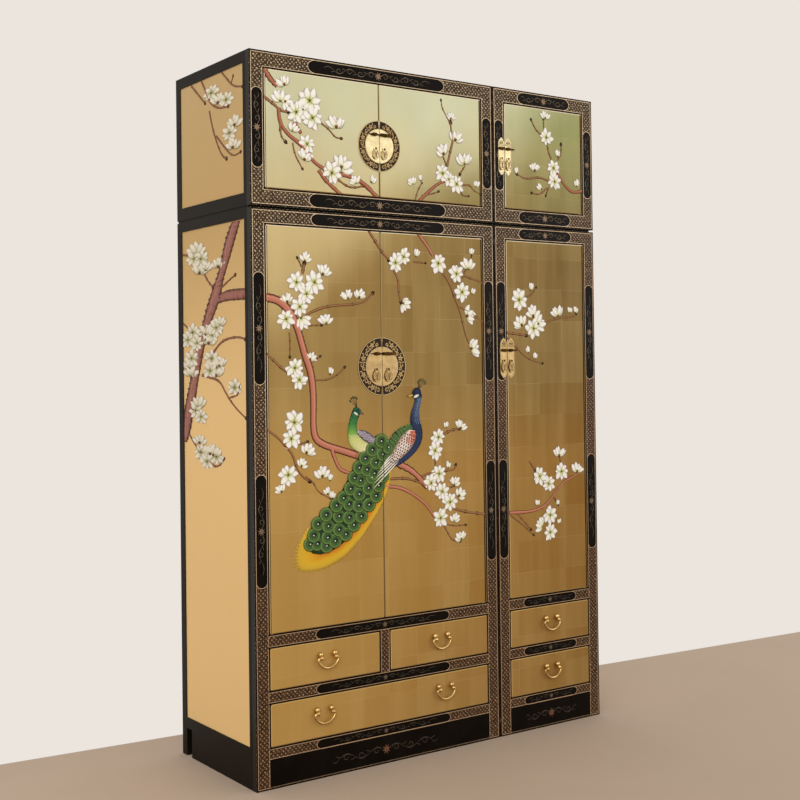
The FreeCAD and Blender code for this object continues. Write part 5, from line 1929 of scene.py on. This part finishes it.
# %% The hen
hen_colours = ramp(24, {0.0: (18, 66, 48), 0.25: (40, 122, 62), 0.42: (120, 176, 74), 0.6: (206, 212, 104),
                        1.0: (240, 230, 168)})
wing_level = hen_level + 0.0010
hen, hen_mark = body([(465, 300), (440, 380), (428, 460), (430, 540), (460, 590), (520, 620)],
                     [(520, 335), (495, 400), (500, 470), (545, 520), (600, 545), (610, 590)],
                     hen_colours, hen_colours * 0.62, hen_level)
hen_wing, hen_wing_mark = body([(500, 452), (530, 446), (580, 460), (640, 510)],
                               [(500, 468), (530, 510), (570, 542), (618, 552)],
                               paint(150, 138, 150), paint(86, 74, 88), wing_level, low_rise)
hen_marks = [
    hen_mark, hen_wing_mark,
    tufts(hen, 16, 4, 0.008, 0.0032, paint(244, 238, 196), paint(140, 150, 84), hen_level, body_rise,
          (0.5, 0.98)),
    tufts(hen, 12, 3, 0.007, 0.0026, paint(112, 178, 92), paint(20, 70, 48), hen_level, body_rise,
          (0.05, 0.5)),
    tufts(hen_wing, 7, 3, 0.013, 0.004, paint(206, 196, 206), paint(70, 60, 76), wing_level, low_rise),
    spots([(500, 305, 38, 26, -25)], [(20, 74, 54), (26, 96, 62), (14, 50, 40)], 0.0014, hen_level + 0.0008),
    spots([(490, 327, 24, 9, -32)], [(238, 236, 220), (206, 206, 184)], 0.0006, hen_level + 0.0020),
    spots([(532, 320, 22, 8, -28)], [(116, 112, 104), (60, 56, 52)], 0.0009, wing_level),
    spots([(506, 302, 6, 5, 0)], [(14, 12, 10), (40, 36, 28)], 0.0004, hen_level + 0.0021),
]


def crest(root, tips, colour):
    """A fan of bare stems, each with a small tuft at its tip."""
    ends = np.array(tips, dtype=float)
    t = np.linspace(0.0, 1.0, 6)[None, :, None]
    paths = on_front(read_off(np.array(root) + (ends[:, None] - root) * t, birds_crop))
    leans = np.degrees(np.arctan2(-(ends - root)[:, 1], (ends - root)[:, 0]))
    rows = [(x, y, 12, 6, lean) for (x, y), lean in zip(tips, leans)]
    return [strokes(paths, 0.0011, 0.0006, paint(70, 62, 44), level=hen_level),
            spots(rows, [colour, (26, 34, 26)], 0.0006, hen_level + 0.0002)]


hen_marks += crest((500, 282), [(450, 232), (458, 214), (470, 205), (484, 206), (498, 212)], (52, 74, 40))
print(len(hen_marks), "parts of the hen")

# %% [markdown]
# The train is one dark body under a coat of eyed feathers. Each is a green disc with a dark blot, a white
# pupil and fine barbs around them. All four tip up together, towards the free end of the train.

# %% The train and its eyes
tail_left = [(640, 490), (560, 570), (490, 680), (440, 800), (370, 930), (290, 1020), (215, 1080),
             (150, 1180), (115, 1300), (130, 1345), (165, 1370)]
tail_right = [(745, 560), (745, 640), (725, 780), (700, 880), (660, 950), (600, 1050), (540, 1120),
              (490, 1200), (430, 1270), (340, 1345), (230, 1378)]
tail, tail_mark = body(tail_left, tail_right, paint(34, 62, 34), paint(22, 42, 26), tail_level, low_rise)
eyes = [(680, 530), (735, 575), (612, 595), (690, 628), (560, 660), (640, 690), (700, 705), (515, 728),
        (572, 742), (628, 770), (690, 790), (480, 805), (525, 823), (610, 800), (660, 860), (450, 885),
        (515, 925), (585, 880), (398, 955), (640, 938), (345, 1010), (440, 1000), (512, 1012), (588, 1005),
        (268, 1080), (365, 1090), (440, 1100), (530, 1090), (207, 1150), (285, 1165), (365, 1190),
        (475, 1155), (175, 1235), (280, 1250), (415, 1225), (203, 1297), (272, 1312), (335, 1275), (150, 1300)]
tail_way = np.array([-0.56, -0.83])
eye_spots = on_front(read_off(eyes, birds_crop))
eye_level = tail_level + 0.0006
eye_slope, eye_lift = 0.03, 0.012


def tipped(shape):
    """Feathers that rise towards their free ends: height grows with the distance along the train."""
    points, faces, tints = shape
    each = points.reshape(len(eyes), -1, 3).copy()
    each[..., 2] += eye_slope * ((each[..., :2] - eye_spots[:, None]) @ tail_way) + eye_slope * eye_lift
    return each.reshape(-1, 3), faces, tints


scales = spots([(x, y, 62, 57, 0) for x, y in eyes],
               [(44, 64, 38), (48, 74, 38), (54, 84, 38), (66, 100, 44), (116, 144, 76), (48, 72, 36)],
               0.0009, eye_level)
blots = spots([(x + 7, y - 6, 17, 14, 30) for x, y in eyes], [(18, 30, 34), (28, 52, 40)], 0.0003,
              eye_level + 0.0010)
pupils = spots([(x - 1, y + 1, 7, 6, 0) for x, y in eyes], [(244, 244, 226), (190, 196, 160)], 0.0003,
               eye_level + 0.0013)
barb_turn = np.arange(14) / 14 * 2 * np.pi
barb_way = headings(barb_turn)[None, :, None] * np.linspace(0.009, 0.022, 4)[:, None]
barbs = (eye_spots[:, None, None] + barb_way).reshape(-1, 4, 2)
barb_marks = strokes(barbs, [[0.0009, 0.0012, 0.0010, 0.0004]], 0.0003, paint(104, 146, 74),
                     paint(48, 86, 40), eye_level + 0.0004 + eye_slope * eye_lift, profile=slab)
eye_marks = [tipped(shape) for shape in (scales, blots, pupils, barb_marks)]
print(len(eyes), "eyed feathers")

# %% [markdown]
# Long loose feathers hang below the train, orange at the root and yellow at the tip. Each is a thin stroke
# from the train's edge to an outer line, with a slight wave, and every third one lies a little higher.

# %% The fringe
fringe_count = 150
outer_line = [(760, 730), (735, 900), (655, 1060), (565, 1205), (465, 1335), (350, 1438), (200, 1502),
              (44, 1504), (26, 1400), (66, 1270), (136, 1170)]
fringe_roots = edges_of([(735, 640), *tail_right[2:], (165, 1360), (120, 1310), (125, 1240)], outer_line,
                        birds_crop, on_front, 60)
share = np.linspace(0.0, 1.0, fringe_count)
root = on_edge(fringe_roots[0], share * 0.94)
tip = on_edge(fringe_roots[1], np.minimum(share * 0.97 + 0.03, 1.0))
t = np.linspace(-0.15, 1.0, 9)[None, :, None]
wave = np.sin(np.arange(fringe_count) * 2.4)[:, None, None] * 0.06
fringe_widths = 0.011 * np.array([[0.7, 1.0, 1.0, 1.0, 1.0, 0.9, 0.7, 0.45, 0.2]])
fringe_colours = ramp(9, {0.0: (206, 108, 24), 0.4: (212, 140, 24), 0.7: (222, 178, 38), 1.0: (204, 166, 58)})
fringe = strokes(root[:, None] + (tip - root)[:, None] * (t + wave * t), fringe_widths, 0.0004,
                 fringe_colours, level=fringe_level + (np.arange(fringe_count) % 3) * 0.00006)
print(fringe_count, "fringe feathers")

# %% [markdown]
# The cock stands in front: a green back, a long blue neck, and a pale barred wing that ends in six quills.
# Each quill lies a little lower than the one before it, as the feathers of a folded wing do.

# %% The cock
back, back_mark = body([(895, 404), (835, 422), (775, 462), (735, 525), (722, 590), (738, 624)],
                       [(915, 430), (885, 480), (845, 540), (805, 600), (765, 640), (742, 628)],
                       paint(44, 78, 40), paint(26, 48, 30), cock_level, low_rise)
neck_colours = ramp(24, {0.0: (26, 34, 62), 0.1: (76, 100, 134), 0.24: (46, 64, 100), 0.4: (30, 44, 76),
                         0.75: (34, 50, 84), 1.0: (18, 24, 44)})
neck, neck_mark = body([(928, 196), (930, 245), (904, 305), (893, 370), (902, 430), (938, 500), (900, 590),
                        (830, 650), (768, 708)],
                       [(984, 180), (974, 250), (960, 310), (966, 372), (984, 430), (990, 500), (962, 585),
                        (860, 686), (782, 726)],
                       neck_colours, neck_colours * 0.5, cock_level)
wing, wing_mark = body([(880, 445), (820, 490), (785, 560), (748, 630), (722, 700)],
                       [(932, 452), (942, 510), (905, 590), (840, 650), (770, 715)],
                       paint(240, 224, 210), paint(176, 140, 124), cock_level + 0.0004)
quill_roots = np.array([(806, 680), (794, 674), (782, 666), (770, 656), (758, 646), (748, 634)], dtype=float)
quill_tips = np.array([(610, 892), (618, 850), (630, 812), (646, 776), (664, 744), (684, 714)], dtype=float)
quill_colours = ramp(9, {0.0: (240, 222, 208), 0.5: (250, 246, 226), 1.0: (214, 222, 160)})
steps = np.linspace(0.0, 1.0, 9)[:, None]
quills = on_front(read_off(quill_roots[:, None] + (quill_tips - quill_roots)[:, None] * steps, birds_crop))
cock_marks = [
    back_mark,
    tufts(back, 11, 6, 0.013, 0.0085, paint(60, 98, 48), paint(132, 156, 90), cock_level, low_rise,
          across=(0.02, 0.9)),
    neck_mark,
    tufts(neck, 12, 3, 0.008, 0.0034, paint(140, 162, 188), paint(46, 66, 106), cock_level, body_rise,
          (0.04, 0.34), (0.4, 1.0)),
    tufts(neck, 26, 5, 0.008, 0.0036, paint(56, 76, 118), paint(20, 28, 54), cock_level, body_rise,
          (0.06, 0.98)),
    wing_mark,
    tufts(wing, 12, 5, 0.0085, 0.0046, paint(40, 32, 40), paint(84, 66, 70), cock_level + 0.0010, body_rise,
          (0.12, 0.96)),
    tufts(wing, 6, 4, 0.0085, 0.0066, paint(196, 78, 52), paint(214, 128, 96), cock_level + 0.0012, body_rise,
          (0.02, 0.34), (0.4, 0.95)),
    strokes(quills, 0.0072 * petal_profile(9, 0.5), 0.0008, quill_colours, paint(48, 44, 38),
            cock_level + 0.0022 - np.arange(6) * 0.0001),
    spots([(943, 174, 44, 40, 62)], [(34, 48, 84), (28, 38, 70), (14, 18, 34)], 0.0016, cock_level + 0.0004),
    spots([(938, 196, 28, 11, 22)], [(246, 244, 236), (210, 208, 200)], 0.0008, cock_level + 0.0019),
    spots([(898, 192, 30, 9, 12)], [(206, 178, 92), (140, 112, 50)], 0.0010, cock_level + 0.0006),
    spots([(928, 170, 6, 5, 0)], [(8, 8, 8), (30, 28, 26)], 0.0004, cock_level + 0.0022),
    *crest((958, 142), [(955, 92), (965, 78), (978, 72), (992, 76), (1004, 86), (1010, 100)], (86, 104, 58)),
]
paint_doors("peafowl", [*hen_marks, fringe, tail_mark, *eye_marks, *cock_marks], lower_doors[:2])

# %% [markdown]
# ## The painted sides
#
# A trunk climbs the tall side panel and its twigs carry fainter blossom. Only the left side is seen, so
# the places come from its plane, and the right side gets the same painting mirrored.

# %% The trunk and its bough
panel_low, panel_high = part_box("side_panels")
side_plane = panel_low[0]
side_panel_heights = {"lower": (0.135, 1.853), "upper": (1.937, 2.362)}


def on_panel(pixels):
    """Where the sight lines meet the left side panels, as pairs of y and z."""
    return cast(pixels, 0, side_plane)


trunk_left = [(468, 210), (425, 320), (400, 450), (375, 560), (340, 650), (300, 780), (270, 900),
              (240, 1020), (215, 1150), (190, 1280), (165, 1400), (150, 1500), (150, 1640)]
trunk_right = [(525, 200), (500, 290), (470, 400), (440, 500), (410, 600), (400, 690), (365, 790), (330, 880),
               (295, 1000), (275, 1120), (250, 1250), (235, 1370), (215, 1480), (205, 1560), (176, 1650)]
trunk = edges_of(trunk_left, trunk_right, left_crop, on_panel, 40)
bough = edges_of([(360, 700), (420, 660), (480, 645), (560, 640)],
                 [(372, 745), (430, 725), (500, 720), (565, 715)], left_crop, on_panel)


def edge_ticks(edges, count, share, width, colour, level, seed):
    """Short strokes that run inwards from both edges of a ribbon, over up to a share of its width."""
    rng = np.random.default_rng(seed)
    from_left = rng.random(count) < 0.5
    place = rng.integers(1, len(edges[0]) - 1, count)
    left, right = edges[0][place], edges[1][place]
    root = np.where(from_left[:, None], left, right)
    way = np.where(from_left[:, None], right - left, left - right)
    way = way * rng.uniform(0.3, 1.0, count)[:, None] * share
    drift = (edges[0][place + 1] - edges[0][place]) * rng.uniform(-0.6, 0.6, count)[:, None]
    path = (root - 0.12 * way)[:, None] + (way * 1.12 + drift)[:, None] * np.array([[0.0], [0.5], [1.0]])
    return strokes(path, width * np.array([[1.0, 0.8, 0.3]]), 0.0004, colour, level=level)


trunk_rise, bough_rise = 0.0013, 0.0012
trunk_marks = [
    ribbon(trunk, trunk_rise, side_bark["core"], side_bark["rim"], 0.0),
    ribbon(bough, bough_rise, side_bark["core"], side_bark["rim"], 0.0),
    edge_ticks(trunk, 190, 0.3, 0.0042, side_bark["tick"], 0.0012, 31),
    edge_ticks(bough, 22, 0.2, 0.0034, side_bark["tick"], 0.0011, 32),
    edge_ticks(trunk, 60, 0.8, 0.0022, side_bark["rim"], 0.0012, 33),
    edge_ticks(bough, 16, 0.7, 0.0018, side_bark["rim"], 0.0011, 34),
    tufts(trunk, 24, 1, 0.05, 0.008, side_bark["light"], side_bark["core"], 0.0001, trunk_rise, (0.02, 0.98),
          (0.3, 0.5)),
]
print(len(trunk_marks), "parts of the trunk")

# %% [markdown]
# The twigs and the blossom of the sides are paler than those of the front. The blossom is spread across,
# because the side is seen at a flat angle and what looks round on it is wide.

# %% Twigs and blossom of the sides
faded = dict(level=0.0005, petal=faded_petal, edge=faded_edge, wide=1.9)
side_marks = {
    "lower": [
        *trunk_marks,
        *branches([
            (12, 9, (145, 425), (200, 430), (225, 455)), (14, 10, (290, 550), (315, 600), (345, 635)),
            (13, 9, (400, 640), (440, 600), (490, 555)),
            (16, 10, (350, 1060), (400, 990), (460, 965), (520, 960), (555, 975)),
            (16, 9, (275, 1210), (390, 1240), (430, 1330), (490, 1420), (560, 1490)),
            (11, 8, (445, 1360), (500, 1345), (520, 1320), (520, 1290)), (11, 8, (150, 870), (190, 910)),
        ], left_crop, on_panel, 21, side_bark, side_twig),
        *branches([
            (13, 9, (190, 90), (230, 160), (260, 210)),
            (12, 8, (330, 270), (360, 310), (400, 290), (420, 255)),
        ], left_low_crop, on_panel, 22, side_bark, side_twig),
        blooms([
            (240, 390, 51, 1), (270, 450, 54, 0), (260, 520, 50, 1), (380, 480, 45, 1), (215, 930, 51, 0),
            (300, 920, 50, 1), (370, 900, 51, 0), (320, 980, 47, 1), (210, 1100, 50, 0), (340, 1100, 54, 0),
            (390, 1130, 45, 1), (330, 1180, 50, 0), (200, 1190, 42, 1), (370, 1190, 47, 1),
            (490, 1290, 50, 0), (250, 1390, 47, 1), (270, 1480, 45, 0), (225, 450, 50, 0),
            (300, 500, 45, 1), (185, 980, 48, 0), (345, 950, 48, 0), (245, 1000, 46, 0), (375, 1160, 48, 0),
            (235, 1440, 48, 0), (195, 1140, 45, 1), (390, 860, 40, 1),
        ], left_crop, on_panel, 95, **faded),
        blooms([
            (270, 210, 50, 0), (330, 200, 47, 1), (370, 240, 50, 0), (310, 270, 47, 0), (350, 210, 42, 1),
            (260, 130, 42, 1),
        ], left_low_crop, on_panel, 96, **faded),
    ],
    "upper": [
        *branches([
            (13, 9, (190, 340), (230, 390), (270, 440)),
            (13, 9, (250, 310), (280, 380), (300, 440), (350, 475), (410, 460)),
            (12, 8, (370, 255), (400, 290), (440, 340), (495, 340)), (9, 7, (430, 320), (440, 280)),
            (14, 10, (298, 490), (310, 560), (330, 640), (350, 700), (375, 760), (400, 775)),
            (12, 8, (340, 640), (390, 710), (440, 765), (485, 735)),
        ], upper_left_crop, on_panel, 23, side_bark, side_twig),
        blooms([
            (310, 380, 45, 0), (350, 420, 42, 1), (400, 420, 42, 0), (420, 620, 45, 0), (440, 690, 40, 1),
            (450, 555, 40, 1),
        ], upper_left_crop, on_panel, 97, **faded),
    ],
}
print({level: len(marks) for level, marks in side_marks.items()}, "marks on the sides")

# %% [markdown]
# Both sides get the same marks, facing outwards, and each is cut at the edges of its panel.

# %% Lay the painting on the sides
for level, marks in side_marks.items():
    low, high = side_panel_heights[level]
    limits = [((0, 0, low), (0, 0, -1)), ((0, 0, high), (0, 0, 1)),
              ((0, panel_low[1], 0), (0, -1, 0)), ((0, panel_high[1], 0), (0, 1, 0))]
    for side, way in (("left", 1.0), ("right", -1.0)):
        def on_side(points):
            """Relief coordinates to a side: out from its plane, and the other two as y and z."""
            return np.stack([way * (side_plane - points[:, 2]), points[:, 0], points[:, 1]], axis=-1)

        make_piece(f"{level}_{side}_side_blossom", combine(marks), body_paint, "root",
                   on_side, window=limits)
